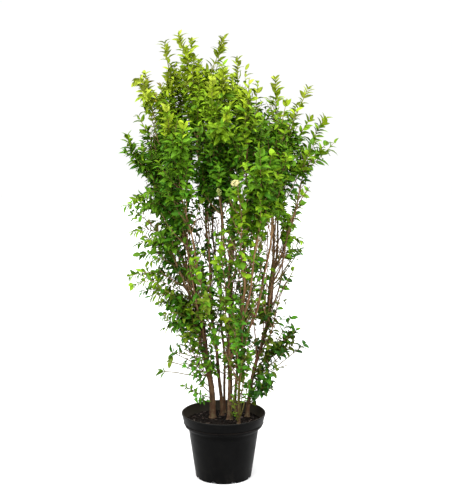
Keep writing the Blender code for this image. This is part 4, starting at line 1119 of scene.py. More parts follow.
def growCanes():
    for name, (carrier, height, depth, places, foot, top) in canes.items():
        rng = random.Random(f"cane {name}")
        shoot = shootOn(carrier, rng, habits["middle"])
        share = shoot.line.shareAtHeight(height)
        knots = [shoot.line.at(share)] + [Vector((x, depth, z)) for x, z in places]
        slopes = [shoot.line.along(share)]
        slopes += [(knots[k + 1] - knots[k - 1]).normalized() for k in (1, 2)] + [(knots[3] - knots[2]).normalized()]
        points = []
        for k in range(3):
            run = (knots[k + 1] - knots[k]).length
            points += [hermite(knots[k], knots[k + 1], slopes[k], slopes[k + 1], part / 8, run) for part in range(8)]
        own = Line(points + [knots[3]])
        steps, wander = caneForm["steps"], caneForm["wander"]
        path = [own.at(k / steps) + Vector((rng.gauss(0, wander), rng.gauss(0, wander), 0))
                for k in range(steps + 1)]
        foot = min(foot, 0.8 * limbRadius(shoot.footRadius, share))
        radii = [foot + (top - foot) * k / steps for k in range(steps)] + [caneForm["tipRadius"]]
        for k in range(0, steps, caneForm["jointSteps"]):
            radii[k] *= caneForm["jointSwell"]
        twigBatches["canes"].add(path, radii, 7)
        twigs = caneForm["twigs"]
        for k in range(twigs):
            part = caneForm["twigsFrom"] + caneForm["twigsOver"] * (k + rng.random()) / twigs
            reach = rng.uniform(*caneForm["twigLength"])
            shoot.twig(own, part, rng.uniform(0, 2 * math.pi), reach, caneForm["twigRadius"],
                       2 if rng.random() < caneForm["fineShare"] else 1)


spears = {  # upright shoots of their own: carrier, share of it where they leave, tip
    "nearCentre": ("centre", 0.84, (-0.001, -0.06, 1.363)),
    "frontSecond": ("front", 0.86, (0.067, -0.105, 1.35)),
    "leftSecond": ("crown_left", 0.72, (-0.253, 0.06, 1.329)),
    "topSecond": ("inner_left", 0.88, (-0.1, 0.02, 1.436)),
    "topThird": ("slender", 0.9, (-0.011, 0.03, 1.424)),
    "farLeftSecond": ("far_left", 0.7, (-0.305, -0.04, 1.14)),
    "rightThird": ("outer_right", 0.76, (0.233, 0.02, 1.234)),
    "farRightSecond": ("outer_right", 0.6, (0.325, 0.05, 1.187)),
    "farRightFourth": ("far_right", 0.8, (0.356, 0.02, 1.115)),
    "farRightThird": ("outer_right", 0.52, (0.29, -0.07, 1.13)),
    "slotOne": ("inner_left", 0.62, (-0.048, -0.1, 1.11)),
    "slotTwo": ("slender", 0.52, (-0.04, -0.0, 1.062)),
    "slotThree": ("inner_left", 0.52, (-0.046, -0.07, 1.031)),
    "slotFour": ("slender", 0.46, (-0.054, 0.05, 0.978)),
    "slotSix": ("left", 0.5, (-0.12, -0.03, 0.949)),
    "frontOne": ("front_right", 0.78, (0.11, -0.285, 1.12)),
    "frontTwo": ("front_left", 0.8, (-0.12, -0.235, 1.19)),
    "frontThree": ("front_crown", 0.76, (0.01, -0.235, 1.23)),
    "backOne": ("back_crown", 0.76, (-0.07, 0.285, 1.15)),
    "backTwo": ("back_right", 0.76, (0.15, 0.29, 1.13)),
}
spearForm = {
    "steps": 16,
    "low": 0.95,  # spears that end below this grow as the middle masses do
    "bend": 1.5,
    "straight": 0.2,  # the shoots further right than this lean out straight
    "rise": 1.1,
    "radius": (0.0017, 0.0011),  # at the foot, less at the tip
    "twigPairs": 3,
    "plain": (0.28, 1.38),  # no twigs further right or higher than this
    "twigsFrom": 0.12,
    "twigGap": 0.13,
    "twigLength": (0.05, 0.08),
    "twigRadius": 0.0015,
    "leavesFrom": 0.25,
}


def growSpears():
    steps, (foot, taper), (right, high) = spearForm["steps"], spearForm["radius"], spearForm["plain"]
    for name, (carrier, share, tip) in spears.items():
        rng = random.Random(f"spear {name}")
        shoot = shootOn(carrier, rng, habits["middle"] if tip[2] < spearForm["low"] else None)
        root, tip = shoot.line.at(share), Vector(tip)
        rise = tip - root
        bend = 1.0 if tip.x > spearForm["straight"] else spearForm["bend"]
        points = []
        for k in range(steps + 1):
            part = k / steps
            sideways = Vector((rise.x, rise.y, 0.0)) * (1 - (1 - part) ** bend)
            points.append(root + sideways + up * rise.z * part ** spearForm["rise"])
        twigBatches["youngTwigs"].add(points, [foot - taper * k / steps for k in range(steps + 1)], 6)
        own = Line(points)
        roll = rng.uniform(0, math.pi)
        for k in range(0 if tip.x > right or tip.z > high else spearForm["twigPairs"]):
            for side in (0, math.pi):
                shoot.twig(own, spearForm["twigsFrom"] + spearForm["twigGap"] * k, roll + side,
                           rng.uniform(*spearForm["twigLength"]), spearForm["twigRadius"], 2)
            roll += math.pi / 2
        shoot.leafPairs(own, spearForm["leavesFrom"], roll, True)


sideSprays = {  # arching leafy shoots that make the shrub's edge: carrier, height where they leave, tip
    "leftOne": ("left", 0.74, (-0.288, -0.02, 0.935)),
    "leftTwo": ("left", 0.72, (-0.293, 0.02, 0.824)),
    "leftThree": ("left", 0.68, (-0.275, -0.05, 0.796)),
    "leftFour": ("left", 0.64, (-0.281, 0.03, 0.743)),
    "leftFive": ("left", 0.6, (-0.303, 0.01, 0.68)),
    "leftSix": ("left", 0.56, (-0.29, -0.04, 0.66)),
    "leftSeven": ("left", 0.53, (-0.266, 0.03, 0.622)),
    "leftEight": ("left", 0.5, (-0.237, -0.02, 0.616)),
    "leftNine": ("left", 0.47, (-0.21, 0.02, 0.584)),
    "leftTen": ("left", 0.78, (-0.247, -0.07, 0.923)),
    "leftEleven": ("left", 0.7, (-0.248, 0.05, 0.853)),
    "leftTwelve": ("left", 0.66, (-0.234, -0.08, 0.815)),
    "leftThirteen": ("left", 0.6, (-0.238, -0.04, 0.736)),
    "leftFourteen": ("left", 0.56, (-0.231, 0.06, 0.67)),
    "leftFifteen": ("left", 0.48, (-0.2, -0.05, 0.559)),
    "leftSixteen": ("left", 0.45, (-0.191, 0.02, 0.502)),
    "leftSeventeen": ("left", 0.82, (-0.31, -0.03, 0.917)),
    "leftEighteen": ("left", 0.84, (-0.279, 0.03, 0.941)),
    "leftNineteen": ("left", 0.8, (-0.245, -0.08, 0.962)),
    "leftTwenty": ("left", 0.8, (-0.274, 0.05, 0.899)),
    "leftTwentyOne": ("left", 0.75, (-0.235, -0.05, 0.926)),
    "rightEleven": ("far_right", 0.8, (0.27, 0.05, 0.939)),
    "rightSeven": ("far_right", 0.8, (0.25, -0.02, 0.912)),
    "rightOne": ("right", 0.7, (0.244, -0.02, 0.804)),
    "rightTwo": ("right", 0.67, (0.241, 0.03, 0.763)),
    "rightThree": ("right", 0.64, (0.222, -0.03, 0.734)),
    "rightFour": ("right", 0.74, (0.223, -0.05, 0.855)),
    "rightSix": ("right", 0.5, (0.196, 0.03, 0.595)),
    "topLeftOne": ("crown_left", 1.2, (-0.275, 0.0, 1.314)),
    "topLeftTwo": ("crown_left", 1.16, (-0.255, -0.03, 1.265)),
}
sideSprayForm = {
    "habit": dict(habits["middle"], leaf=0.0335, pair=0.0115),
    "kept": (-0.2, 0.9, 0.4),  # left of this place, share of leaves kept where the photo shows sky; elsewhere
    "steps": 14,
    "arch": 0.10,
    "radius": (0.0019, 0.0012),  # at the foot, less at the tip
    "twigs": 2,
    "twigsFrom": 0.35,
    "twigGap": 0.2,
    "twigLength": (0.035, 0.060),
    "twigRadius": 0.0012,
    "leavesFrom": 0.30,
}


def growSideSprays():
    steps, (foot, taper), (left, keptLeft, kept) = (sideSprayForm[key] for key in ("steps", "radius", "kept"))
    for name, (carrier, height, tip) in sideSprays.items():
        rng = random.Random(f"side spray {name}")
        shoot = shootOn(carrier, rng, sideSprayForm["habit"])
        shoot.kept = keptLeft if tip[0] < left else kept
        root, tip = shoot.line.at(shoot.line.shareAtHeight(height)), Vector(tip)
        rise = tip - root
        points = []
        for k in range(steps + 1):
            part = k / steps
            arch = sideSprayForm["arch"] * rise.length * math.sin(math.pi * part)
            lift = math.sin(0.5 * math.pi * part) * rise.z + arch
            points.append(root + Vector((rise.x * part, rise.y * part, lift)))
        twigBatches["youngTwigs"].add(points, [foot - taper * k / steps for k in range(steps + 1)], 6)
        own = Line(points)
        for k in range(sideSprayForm["twigs"]):
            shoot.twig(own, sideSprayForm["twigsFrom"] + sideSprayForm["twigGap"] * k, rng.uniform(0, 2 * math.pi),
                       rng.uniform(*sideSprayForm["twigLength"]), sideSprayForm["twigRadius"], 2)
        shoot.leafPairs(own, sideSprayForm["leavesFrom"], rng.uniform(0, math.pi), True)


smallSprays = [  # carrier, height where they leave, tip, leaf pairs, share of the first, leaf length, tone
    ("left", 0.262, (-0.128, -0.03, 0.318), 9, 0.2, 0.023, "green"),
    ("left", 0.275, (-0.104, 0.06, 0.338), 6, 0.3, 0.02, "fresh"),
    ("left", 0.25, (-0.088, -0.06, 0.29), 6, 0.3, 0.021, "leafGreen"),
    ("left", 0.3, (-0.1, -0.045, 0.372), 7, 0.3, 0.022, "leafGreen"),
    ("left", 0.33, (-0.098, -0.06, 0.41), 7, 0.25, 0.024, "green"),
    ("left", 0.336, (-0.198, 0.01, 0.358), 2, 0.93, 0.033, "green"),
    ("left", 0.348, (-0.173, -0.02, 0.4), 2, 0.92, 0.034, "olive"),
    ("left", 0.372, (-0.178, 0.0, 0.43), 6, 0.45, 0.031, "leafGreen"),
    ("left", 0.366, (-0.14, -0.05, 0.404), 6, 0.4, 0.029, "leafGreen"),
    ("centre", 0.5, (0.014, -0.07, 0.56), 6, 0.3, 0.03, "lime"),
    ("right", 0.252, (0.13, -0.05, 0.322), 7, 0.35, 0.031, "deep"),
    ("right", 0.244, (0.152, -0.04, 0.338), 7, 0.42, 0.031, "deep"),
    ("right", 0.28, (0.158, -0.055, 0.372), 6, 0.35, 0.03, "leafGreen"),
    ("right", 0.24, (0.118, -0.05, 0.312), 5, 0.5, 0.028, "deep"),
    ("right", 0.29, (0.14, -0.02, 0.356), 5, 0.45, 0.027, "leafGreen"),
    ("right", 0.36, (0.219, 0.0, 0.54), 9, 0.25, 0.03, "leafGreen"),
    ("right", 0.33, (0.262, -0.01, 0.452), 13, 0.3, 0.03, "deep"),
    ("right", 0.355, (0.232, 0.03, 0.49), 12, 0.3, 0.029, "darkOlive"),
    ("right", 0.34, (0.208, -0.06, 0.4), 10, 0.3, 0.028, "darkOlive"),
    ("slender", 0.33, (-0.055, -0.02, 0.417), 6, 0.25, 0.024, "leafGreen"),
    ("inner_left", 0.33, (-0.051, -0.03, 0.393), 6, 0.25, 0.023, "green"),
    ("left", 0.33, (-0.041, -0.02, 0.438), 6, 0.3, 0.024, "leafGreen"),
    ("slender", 0.52, (-0.051, -0.0, 0.655), 6, 0.3, 0.027, "deep"),
    ("slender", 0.6, (-0.034, 0.0, 0.728), 5, 0.35, 0.025, "leafGreen"),
    ("inner_left", 0.62, (-0.086, -0.03, 0.773), 6, 0.3, 0.026, "deep"),
    ("centre", 0.44, (0.076, -0.05, 0.506), 6, 0.3, 0.028, "leafGreen"),
    ("centre", 0.43, (0.113, -0.02, 0.471), 6, 0.35, 0.027, "deep"),
    ("right", 0.62, (0.223, 0.0, 0.745), 5, 0.6, 0.032, "leafGreen"),
    ("right", 0.64, (0.248, -0.02, 0.775), 5, 0.62, 0.031, "leafGreen"),
    ("right", 0.56, (0.205, 0.01, 0.663), 4, 0.55, 0.03, "deep"),
    ("left", 0.4, (-0.16, -0.01, 0.428), 4, 0.55, 0.032, "leafGreen"),
    ("right", 0.52, (0.125, -0.03, 0.711), 5, 0.4, 0.027, "deep"),
    ("inner_left", 0.7, (-0.089, -0.03, 0.852), 5, 0.4, 0.026, "deep"),
    ("right", 0.345, (0.229, -0.0, 0.453), 13, 0.25, 0.028, "darkOlive"),
    ("right", 0.338, (0.198, -0.03, 0.433), 12, 0.25, 0.027, "deep"),
    ("right", 0.352, (0.21, 0.02, 0.475), 12, 0.25, 0.027, "leafGreen"),
    ("front", 0.4, (0.043, -0.1, 0.528), 6, 0.3, 0.027, "leafGreen"),
    ("centre", 0.43, (0.005, -0.06, 0.532), 6, 0.3, 0.026, "green"),
    ("centre", 0.48, (0.086, -0.05, 0.552), 6, 0.3, 0.026, "leafGreen"),
    ("slender", 0.66, (-0.07, -0.02, 0.818), 6, 0.35, 0.026, "leafGreen"),
    ("front", 0.64, (0.122, -0.09, 0.823), 6, 0.4, 0.028, "leafGreen"),
    ("front", 0.56, (0.126, -0.08, 0.743), 6, 0.4, 0.028, "green"),
    ("centre", 0.72, (0.027, -0.05, 0.874), 6, 0.35, 0.027, "leafGreen"),
    ("centre", 0.3, (0.08, -0.06, 0.408), 7, 0.3, 0.028, "green"),
    ("front", 0.32, (0.063, -0.09, 0.456), 6, 0.3, 0.026, "leafGreen"),
    ("centre", 0.33, (0.073, -0.05, 0.371), 6, 0.35, 0.025, "green"),
    ("front", 0.36, (0.073, -0.08, 0.5), 6, 0.3, 0.026, "leafGreen"),
    ("right", 0.29, (0.077, -0.03, 0.325), 5, 0.35, 0.022, "leafGreen"),
    ("right", 0.35, (0.174, 0.01, 0.443), 11, 0.25, 0.024, "leafGreen"),
    ("right", 0.64, (0.214, -0.02, 0.735), 1, 0.97, 0.016, "green"),
    ("front", 0.206, (0.05, -0.07, 0.33), 6, 0.4, 0.014, "darkOlive"),
    ("front", 0.204, (0.064, -0.058, 0.35), 7, 0.35, 0.015, "darkOlive"),
    ("centre", 0.206, (0.04, -0.03, 0.318), 6, 0.4, 0.014, "leafGreen"),
    ("front", 0.21, (0.082, -0.09, 0.352), 7, 0.4, 0.014, "leafGreen"),
    ("front", 0.205, (0.03, -0.095, 0.3), 5, 0.4, 0.014, "darkOlive"),
    ("front", 0.198, (0.038, -0.066, 0.236), 4, 0.35, 0.009, "green"),
    ("centre", 0.198, (0.03, -0.04, 0.232), 3, 0.35, 0.008, "darkOlive"),
]
smallSprayForm = {
    "steps": 12,
    "rise": (0.35, 0.65, 1.6),  # share of the rise that is straight, share that curves up, how late it does
    "sway": (0.0015, 0.0035),
    "swayTurn": 0.9,
    "foot": (0.0021, 0.5),  # radius at most, and as a share of the stem's
    "tip": (0.9, 0.0017, 0.0013),  # bare sprays, whose leaves start past this share, end thicker
    "spread": (1.1, 0.4),
}


def growSmallSprays():
    rng = random.Random("small sprays")
    steps, (straight, curved, late) = smallSprayForm["steps"], smallSprayForm["rise"]
    (most, part), (bare, bareTip, leafyTip) = smallSprayForm["foot"], smallSprayForm["tip"]
    wide, closing = smallSprayForm["spread"]
    for carrier, height, tip, pairs, first, size, tone in smallSprays:
        shoot = shootOn(carrier, rng, habits["low"])
        share = shoot.line.shareAtHeight(height)
        root, tip = shoot.line.at(share), Vector(tip)
        rise = Vector((tip.x - root.x, tip.y - root.y, straight * (tip.z - root.z)))
        points = [root + rise * (k / steps) + up * curved * (tip.z - root.z) * (k / steps) ** late
                  for k in range(steps + 1)]
        sway = rng.uniform(*smallSprayForm["sway"])
        points = [point + up * sway * math.sin(smallSprayForm["swayTurn"] * k) * (k / steps)
                  for k, point in enumerate(points)]
        thick = min(most, part * limbRadius(shoot.footRadius, share))
        thin = bareTip if first > bare else leafyTip
        twigBatches["greenTwigs"].add(points, [thick + (thin - thick) * k / steps for k in range(steps + 1)], 5)
        own, roll = Line(points), rng.uniform(0, math.pi)
        for k in range(pairs):
            share = first + (1 - first) * (k + 1) / pairs
            for side in (0, math.pi):
                shoot.leaf(own.at(share), own.along(share), roll + side,
                           foliage["leafSpread"] * (wide - closing * share), size, tone, True)
            roll += math.pi / 2


def growFoliage():
    for name, (line, start, footRadius) in limbLines.items():
        if name != "foot_left":  # this one is a nearly bare twig, made with the small sprays
            Mass(name, line, start, footRadius).grow()
    growTufts()
    growCanes()
    growSpears()
    growSideSprays()
    growSmallSprays()
    print("leaves grown:", {name: batch.total() for name, batch in leafBatches.items()},
          sum(batch.total() for batch in leafBatches.values()))


growFoliage()


blossoms = {  # middle, length, width, lean of the cluster, how many buds, share of them open; mass that bears it
    "panicle": ((0.035, -0.286, 1.022), 0.024, 0.016, (0.8, -0.4, 0.35), 96, 0.25, "front_centre"),
    "sideBuds": ((-0.140, 0.296, 1.060), 0.030, 0.021, (-0.6, 0.5, 0.6), 110, 0.2, "back_crown"),
}
greenBuds = {
    "smallPanicle": ((-0.013, -0.205, 0.985), 0.024, 0.014, (-0.2, -0.4, 0.9), 55, 0.0, "front_crown"),
    "lowBuds": ((0.037, -0.125, 0.549), 0.014, 0.010, (0.2, -0.3, 0.9), 26, 0.0, "low_front"),
    "lowBudsTwo": ((0.006, -0.105, 0.571), 0.012, 0.009, (-0.2, -0.3, 0.9), 20, 0.0, "low_front"),
    "lowBudsThree": ((0.036, -0.105, 0.525), 0.012, 0.009, (0.3, -0.3, 0.8), 20, 0.0, "low_front"),
}
budForm = {
    "size": (0.0011, 0.0016),
    "stretch": 1.5,
    "petal": (0.0012, 0.0022, 0.0005),
    "petalPlace": (0.0, 0.0024, 0.0022),
    "petalTurn": 0.4,
    "stalk": [0.0011] * 7 + [0.0008, 0.0005],
    "stalkColours": ((96, 104, 42), (124, 128, 60)),
}


def growBlossoms(label, clusters, colours):
    # buds, each a small ball, and open flowers of four petals round a bud, joined to one piece
    deselectAll()
    bpy.ops.mesh.primitive_uv_sphere_add(segments=6, ring_count=5, radius=1.0)
    pattern, threes, fours = takenApart(bpy.context.object)
    rng = random.Random(label)
    places, balls, nodes, stalks = [], 0, set(), TubeBatch()
    for middle, length, width, lean, count, openShare, mass in clusters.values():
        middle, lean = Vector(middle), Vector(lean).normalized()
        foot = middle - lean * 0.62 * length
        anchor = min((limbLines[mass][0].at(k / 60) for k in range(61)), key=lambda p: (p - foot).length)
        stalks.add([anchor.lerp(foot, k / 6) for k in range(7)] + [middle, middle + lean * 0.35 * length],
                   budForm["stalk"], 5)
        nodes.add(f"foliage_{mass}")
        for k in range(count):
            along = rng.uniform(-0.5, 0.5)
            out = turnedAside(lean, rng.uniform(0, 2 * math.pi), math.pi / 2)
            spread = 0.5 * width * math.sqrt(max(0.05, 1 - (2 * along) ** 2)) * rng.uniform(0.55, 1.0)
            spot = middle + lean * along * length + out * spread
            heading = (out + 0.5 * lean).normalized()
            across = heading.orthogonal().normalized()
            axes = np.array([across, heading.cross(across), heading])
            size = rng.uniform(*budForm["size"])
            places.append(pattern * (size, size, budForm["stretch"] * size) @ axes + np.array(spot))
            balls += 1
            if rng.random() < openShare:
                for quarter in range(4):
                    turn = quarter * math.pi / 2 + budForm["petalTurn"]
                    petal = pattern * budForm["petal"] + budForm["petalPlace"]
                    spin = np.array([[math.cos(turn), math.sin(turn), 0], [-math.sin(turn), math.cos(turn), 0],
                                     [0, 0, 1]])
                    places.append(petal @ spin @ axes + np.array(spot))
                    balls += 1
    starts = np.arange(balls)[:, None, None] * len(pattern)
    made = joinedMesh(label, np.concatenate(places),
                      [(starts + threes[None]).reshape(-1, 3), (starts + fours[None]).reshape(-1, 4)])
    smoothByAngle(made, 60)
    dark, middling, light = (srgb(*colour) for colour in colours)
    shader = Shader(f"{label}Finish", middling, 0.6)
    cream = shader.noise(420.0, 3.0)
    shader.colour(shader.ramp(cream, (0.30, dark), (0.50, middling), (0.72, light)))
    shader.relief(cream, 0.3, 0.0004)
    settle(made, None, shader.material, *sorted(nodes))
    stalk = stalks.piece(f"{label}Stalks")
    settle(stalk, None, twigFinish(f"{label}Stalk", budForm["stalkColours"], 0.6), *sorted(nodes))
    print(label, "made:", balls, "buds and petals")


leafLook = {
    "darker": 0.62,
    "lighter": 1.42,
    "blotches": (48.0, 0.55),  # scale, share in the brightness
    "leafStep": 0.19,  # brightness from one leaf to the next
    "rib": (0.02, 0.06),
    "veins": (44.0, 34.0, 0.35),  # how many, how far they run forward, strength
    "lines": 0.55,
    "relief": (0.35, 0.0004),
    "shine": 0.05,
}
twigLook = {
    "greenTop": (116, 122, 52),
    "topHeights": (1.08, 1.26, 0.0, 0.85),
    "shine": 0.12,
}


def leafFinish(name, colour, roughness):
    base = srgb(*colour)
    shader = Shader(f"leaf_{name}", base, roughness)
    darker = tuple(leafLook["darker"] * c for c in base[:3]) + (1.0,)
    lighter = tuple(min(leafLook["lighter"] * c + 0.006, 1.0) for c in base[:3]) + (1.0,)
    uv = shader.nodes.new("ShaderNodeUVMap")
    uv.uv_map = "leafMap"
    turn = shader.maths("MULTIPLY", shader.axis("X", uv.outputs["UV"]), 0.5)
    step = shader.maths("FLOOR", shader.maths("ADD", turn, 0.001))  # the leaf's own step of brightness
    grain, strength = leafLook["blotches"]
    spread = shader.maths("ADD", shader.maths("MULTIPLY", shader.noise(grain, 2.0), strength),
                          shader.maths("MULTIPLY", step, leafLook["leafStep"]))
    blotch = shader.ramp(spread, (0.24, darker), (0.90, lighter))
    inside = shader.maths("MULTIPLY", shader.maths("SUBTRACT", turn, step), 2.0)
    offset = shader.maths("ABSOLUTE", shader.maths("SUBTRACT", inside, 0.5))
    rib = shader.ranged(offset, *leafLook["rib"], 1.0, 0.0)
    # side veins run forward from the rib
    count, forward, strength = leafLook["veins"]
    slant = shader.maths("SUBTRACT", shader.maths("MULTIPLY", shader.axis("Y", uv.outputs["UV"]), count),
                         shader.maths("MULTIPLY", offset, forward))
    veins = shader.ranged(shader.maths("SINE", slant), 0.75, 1.0, 0.0, strength)
    lines = shader.maths("MAXIMUM", rib, veins)
    pale = tuple(min(1.5 * c + 0.02, 1.0) for c in base[:3]) + (1.0,)
    shader.colour(shader.mixed(shader.maths("MULTIPLY", lines, leafLook["lines"]), blotch, pale))
    shader.relief(shader.maths("MULTIPLY", lines, -1.0), *leafLook["relief"])
    shader.shine(leafLook["shine"])
    return shader.material


def twigFinish(name, colours, roughness):
    shader = Shader(name, srgb(*colours[0]), roughness)
    streaks = shader.noise(260.0, 3.0, shader.stretched((1.0, 1.0, 0.35)))
    brown = shader.ramp(streaks, (0.32, srgb(*colours[0])), (0.68, srgb(*colours[1])))
    top = shader.ranged(shader.axis("Z"), *twigLook["topHeights"])
    shader.colour(shader.mixed(top, brown, srgb(*twigLook["greenTop"])))
    shader.relief(streaks, 0.4, 0.0004)
    shader.shine(twigLook["shine"])
    return shader.material


def finishFoliage():
    for name, (colour, roughness, slotName) in tones.items():
        finish = leafFinish(name, colour, roughness)
        for n, part in enumerate(leafBatches[name].parts()):
            made = part.piece(f"leaves_{name}_{n + 1}")
            settle(made, slotName, finish, *sorted(leafNodes[name]))
            print(made.name, len(made.data.polygons), "faces")
    everyMass = [f"foliage_{name}" for name in limbLines]
    for name, batch in twigBatches.items():
        made = batch.piece(name)
        settle(made, "young_bark", twigFinish(f"{name}Bark", twigColours[name], 0.62), *everyMass)
        print(made.name, len(made.data.polygons), "faces")


finishFoliage()
growBlossoms("blossom", blossoms, ((142, 138, 78), (180, 172, 116), (202, 196, 154)))
growBlossoms("greenBuds", greenBuds, ((96, 112, 44), (126, 138, 66), (156, 162, 94)))


# Stems and boughs, with swollen joints where leaves once stood, and bark relief

wood = {
    "sides": 4,  # the curve's bevel steps: 12 faces round
    "ringStep": 0.0035,
    "jointGap": 0.052,  # between two joints where leaves once stood
    "jointSwell": 0.16,
    "relief": 0.0016,
    "reliefGrain": 0.0075,
    "fineRelief": 0.0006,
    "fineGrain": 0.0028,
    "reliefRadius": 0.007,  # limbs thinner than this at the foot have less relief
    "collar": (0.35, 0.010),  # a bough's swelling where it leaves, and how far it reaches
    "stemColours": ((40, 28, 18), (84, 61, 41)),
    "boughColours": ((58, 40, 27), (102, 76, 53)),
    "lighter": (26, 24, 20),
    "reddish": (92, 56, 38),
    "pores": (140, 116, 88),
    "young": (118, 91, 56),
    "youngHeights": (0.46, 0.64),  # where young bark starts on stems and on boughs
    "greenTop": (112, 118, 52),
    # painted shade on the stems' feet, just above the compost under the crown
    "paintedFootShade": (46, 35, 26),
    "moss": (88, 80, 56),
    "shine": 0.12,
}


def barkFinish(name, colours, youngHeight):
    low, high = colours
    shader = Shader(name, srgb(*low), 0.78)
    streaks = shader.noise(180.0, 5.0, shader.stretched((1.0, 1.0, 0.18)))
    lightest = srgb(*(level + more for level, more in zip(high, wood["lighter"])))
    bark = shader.ramp(streaks, (0.30, srgb(*low)), (0.55, srgb(*high)), (0.80, lightest))
    patches = shader.ranged(shader.noise(22.0, 2.0), 0.45, 0.65)
    reddish = shader.mixed(shader.maths("MULTIPLY", patches, 0.5), bark, srgb(*wood["reddish"]))
    pores = shader.ranged(shader.cells(150.0, shader.stretched((0.6, 0.6, 1.5))), 0.10, 0.20, 1.0, 0.0)
    dotted = shader.mixed(shader.maths("MULTIPLY", pores, 0.6), reddish, srgb(*wood["pores"]))
    young = shader.ranged(shader.axis("Z"), youngHeight, youngHeight + 0.30, 0.0, 0.65)
    brown = shader.mixed(young, dotted, srgb(*wood["young"]))
    top = shader.ranged(shader.axis("Z"), 1.16, 1.30, 0.0, 0.85)
    mossy = shader.maths("MULTIPLY", shader.ranged(shader.axis("Z"), 0.22, 0.36, 0.50, 0.0),
                         shader.ranged(shader.noise(95.0, 4.0), 0.48, 0.64))
    # painted shade: the stems grow darker towards their feet, under the crown
    paintedFootShade = shader.ranged(shader.axis("Z"), 0.20, 0.34, 0.55, 0.0)
    shaded = shader.mixed(paintedFootShade, shader.mixed(top, brown, srgb(*wood["greenTop"])), srgb(*wood["paintedFootShade"]))
    shader.colour(shader.mixed(mossy, shaded, srgb(*wood["moss"])))
    shader.relief(shader.maths("ADD", streaks, shader.maths("MULTIPLY", pores, 0.6)), 0.7, 0.0008)
    shader.shine(wood["shine"])
    return shader.material


def woodPiece(name, line, radiusAt, sway):
    deselectAll()
    steps = round(line.length / wood["ringStep"])
    curve = bpy.data.curves.new(name, "CURVE")
    curve.dimensions = "3D"
    curve.bevel_depth = 1.0
    curve.bevel_resolution = wood["sides"]
    curve.use_fill_caps = True
    spline = curve.splines.new("POLY")
    spline.points.add(steps)
    for k, knot in enumerate(spline.points):
        share = k / steps
        knot.co = (*line.at(share), 1.0)
        travelled = share * line.length + sway
        joint = (travelled + wood["jointGap"] / 2) % wood["jointGap"] - wood["jointGap"] / 2
        knot.radius = radiusAt(share) * (1 + wood["jointSwell"] * math.exp(-(joint / 0.0035) ** 2))
    made = bpy.data.objects.new(name, curve)
    bpy.context.scene.collection.objects.link(made)
    makeActive(made)
    bpy.ops.object.convert(target="MESH")
    made = bpy.context.object
    bpy.ops.object.mode_set(mode="EDIT")
    bpy.ops.mesh.select_all(action="SELECT")
    bpy.ops.mesh.remove_doubles(threshold=0.00001)
    bpy.ops.mesh.normals_make_consistent(inside=False)
    bpy.ops.object.mode_set(mode="OBJECT")
    for label, grain, strength in (("ridges", "reliefGrain", "relief"), ("pits", "fineGrain", "fineRelief")):
        addBumps(made, label, wood[grain], wood[strength] * min(1.0, radiusAt(0.0) / wood["reliefRadius"]))
    applyModifiers(made)
    smoothByAngle(made, 60)
    return made


def makeWood():
    onStems, onBoughs = wood["youngHeights"]
    bark = barkFinish("stemBark", wood["stemColours"], onStems)
    boughBark = barkFinish("boughBark", wood["boughColours"], onBoughs)
    total = 0
    for name in stems:
        line, start, foot = limbLines[name]
        ending = line.along(1.0)
        points = [line.at(k / 96) for k in range(97)]
        points.append(points[-1] + ending * (cadTipReach - limbs["leafTipReach"]))
        bow = Vector((*massChanges.get(name, {}).get("bow", (0.0, 0.0)), 0.0))
        for k, point in enumerate(points):
            share = (min(k / 96, 1.0) - start) / (1.0 - start)
            if share > 0:
                point += bow * math.sin(math.pi * share * 0.96)
        own = Line(points)

        def radiusAt(share):
            rise = share * own.length
            flare = 1 + limbs["rootFlare"] * max(0.0, 1 - rise / limbs["flareHeight"]) ** 2
            return limbRadius(foot, share * own.length / line.length) * flare

        made = woodPiece(f"stem_{name}_bark", own, radiusAt, 0.0)
        settle(made, "bark", bark, f"stem_{name}")
        total += len(made.data.polygons)
    for name in sideLimbs:
        line, start, foot = limbLines[name]
        if not start:
            continue
        own = Line([line.at(start * k / 20) for k in range(21)] + [line.at(start + 0.004 / line.length)])

        def radiusAt(share):
            swell, reach = wood["collar"]
            return limbRadius(foot, share * start) * (1 + swell * math.exp(-share * own.length / reach))

        made = woodPiece(f"bough_{name}_bark", own, radiusAt, 0.02)
        settle(made, "young_bark", boughBark, f"bough_{name}")
        total += len(made.data.polygons)
    print("wood made:", total, "faces")


makeWood()


# The pot: rings drawn up from a circle, out, over the lip and down the inside

pot = {
    "segments": 128,
    "height": 0.220,
    "rimRadius": 0.140,
    "collarDrop": 0.043,
    "collarTaper": 0.0105,
    "collarStep": 0.013,
    "stepHeight": 0.014,
    "baseRadius": 0.093,
    "wall": 0.0024,
    "floor": 0.0078,
    "bead": 0.0022,
    "grooveIn": 0.056,
    "grooveOut": 0.078,
    "grooveDeep": 0.0025,
    "notches": 8,
    "notchSize": (0.046, 0.019, 0.0150),
    "notchRound": 0.0014,
    "edgeRound": 0.0005,
    "plastic": ((3, 3, 3), (6, 6, 6)),
    "grime": (24, 22, 19),
    # painted highlight along the top edge of the rim
    "paintedRimHighlight": (26, 26, 25),
    # painted light on the inner wall above the compost: its colour, and the heights where it shows
    "dust": (50, 46, 39),
    "paintedInnerWallHeights": (0.182, 0.186),
    "hollow": (0.168, 0.020, 0.038),  # height of the dull hollow under the collar, shine in it and elsewhere
}


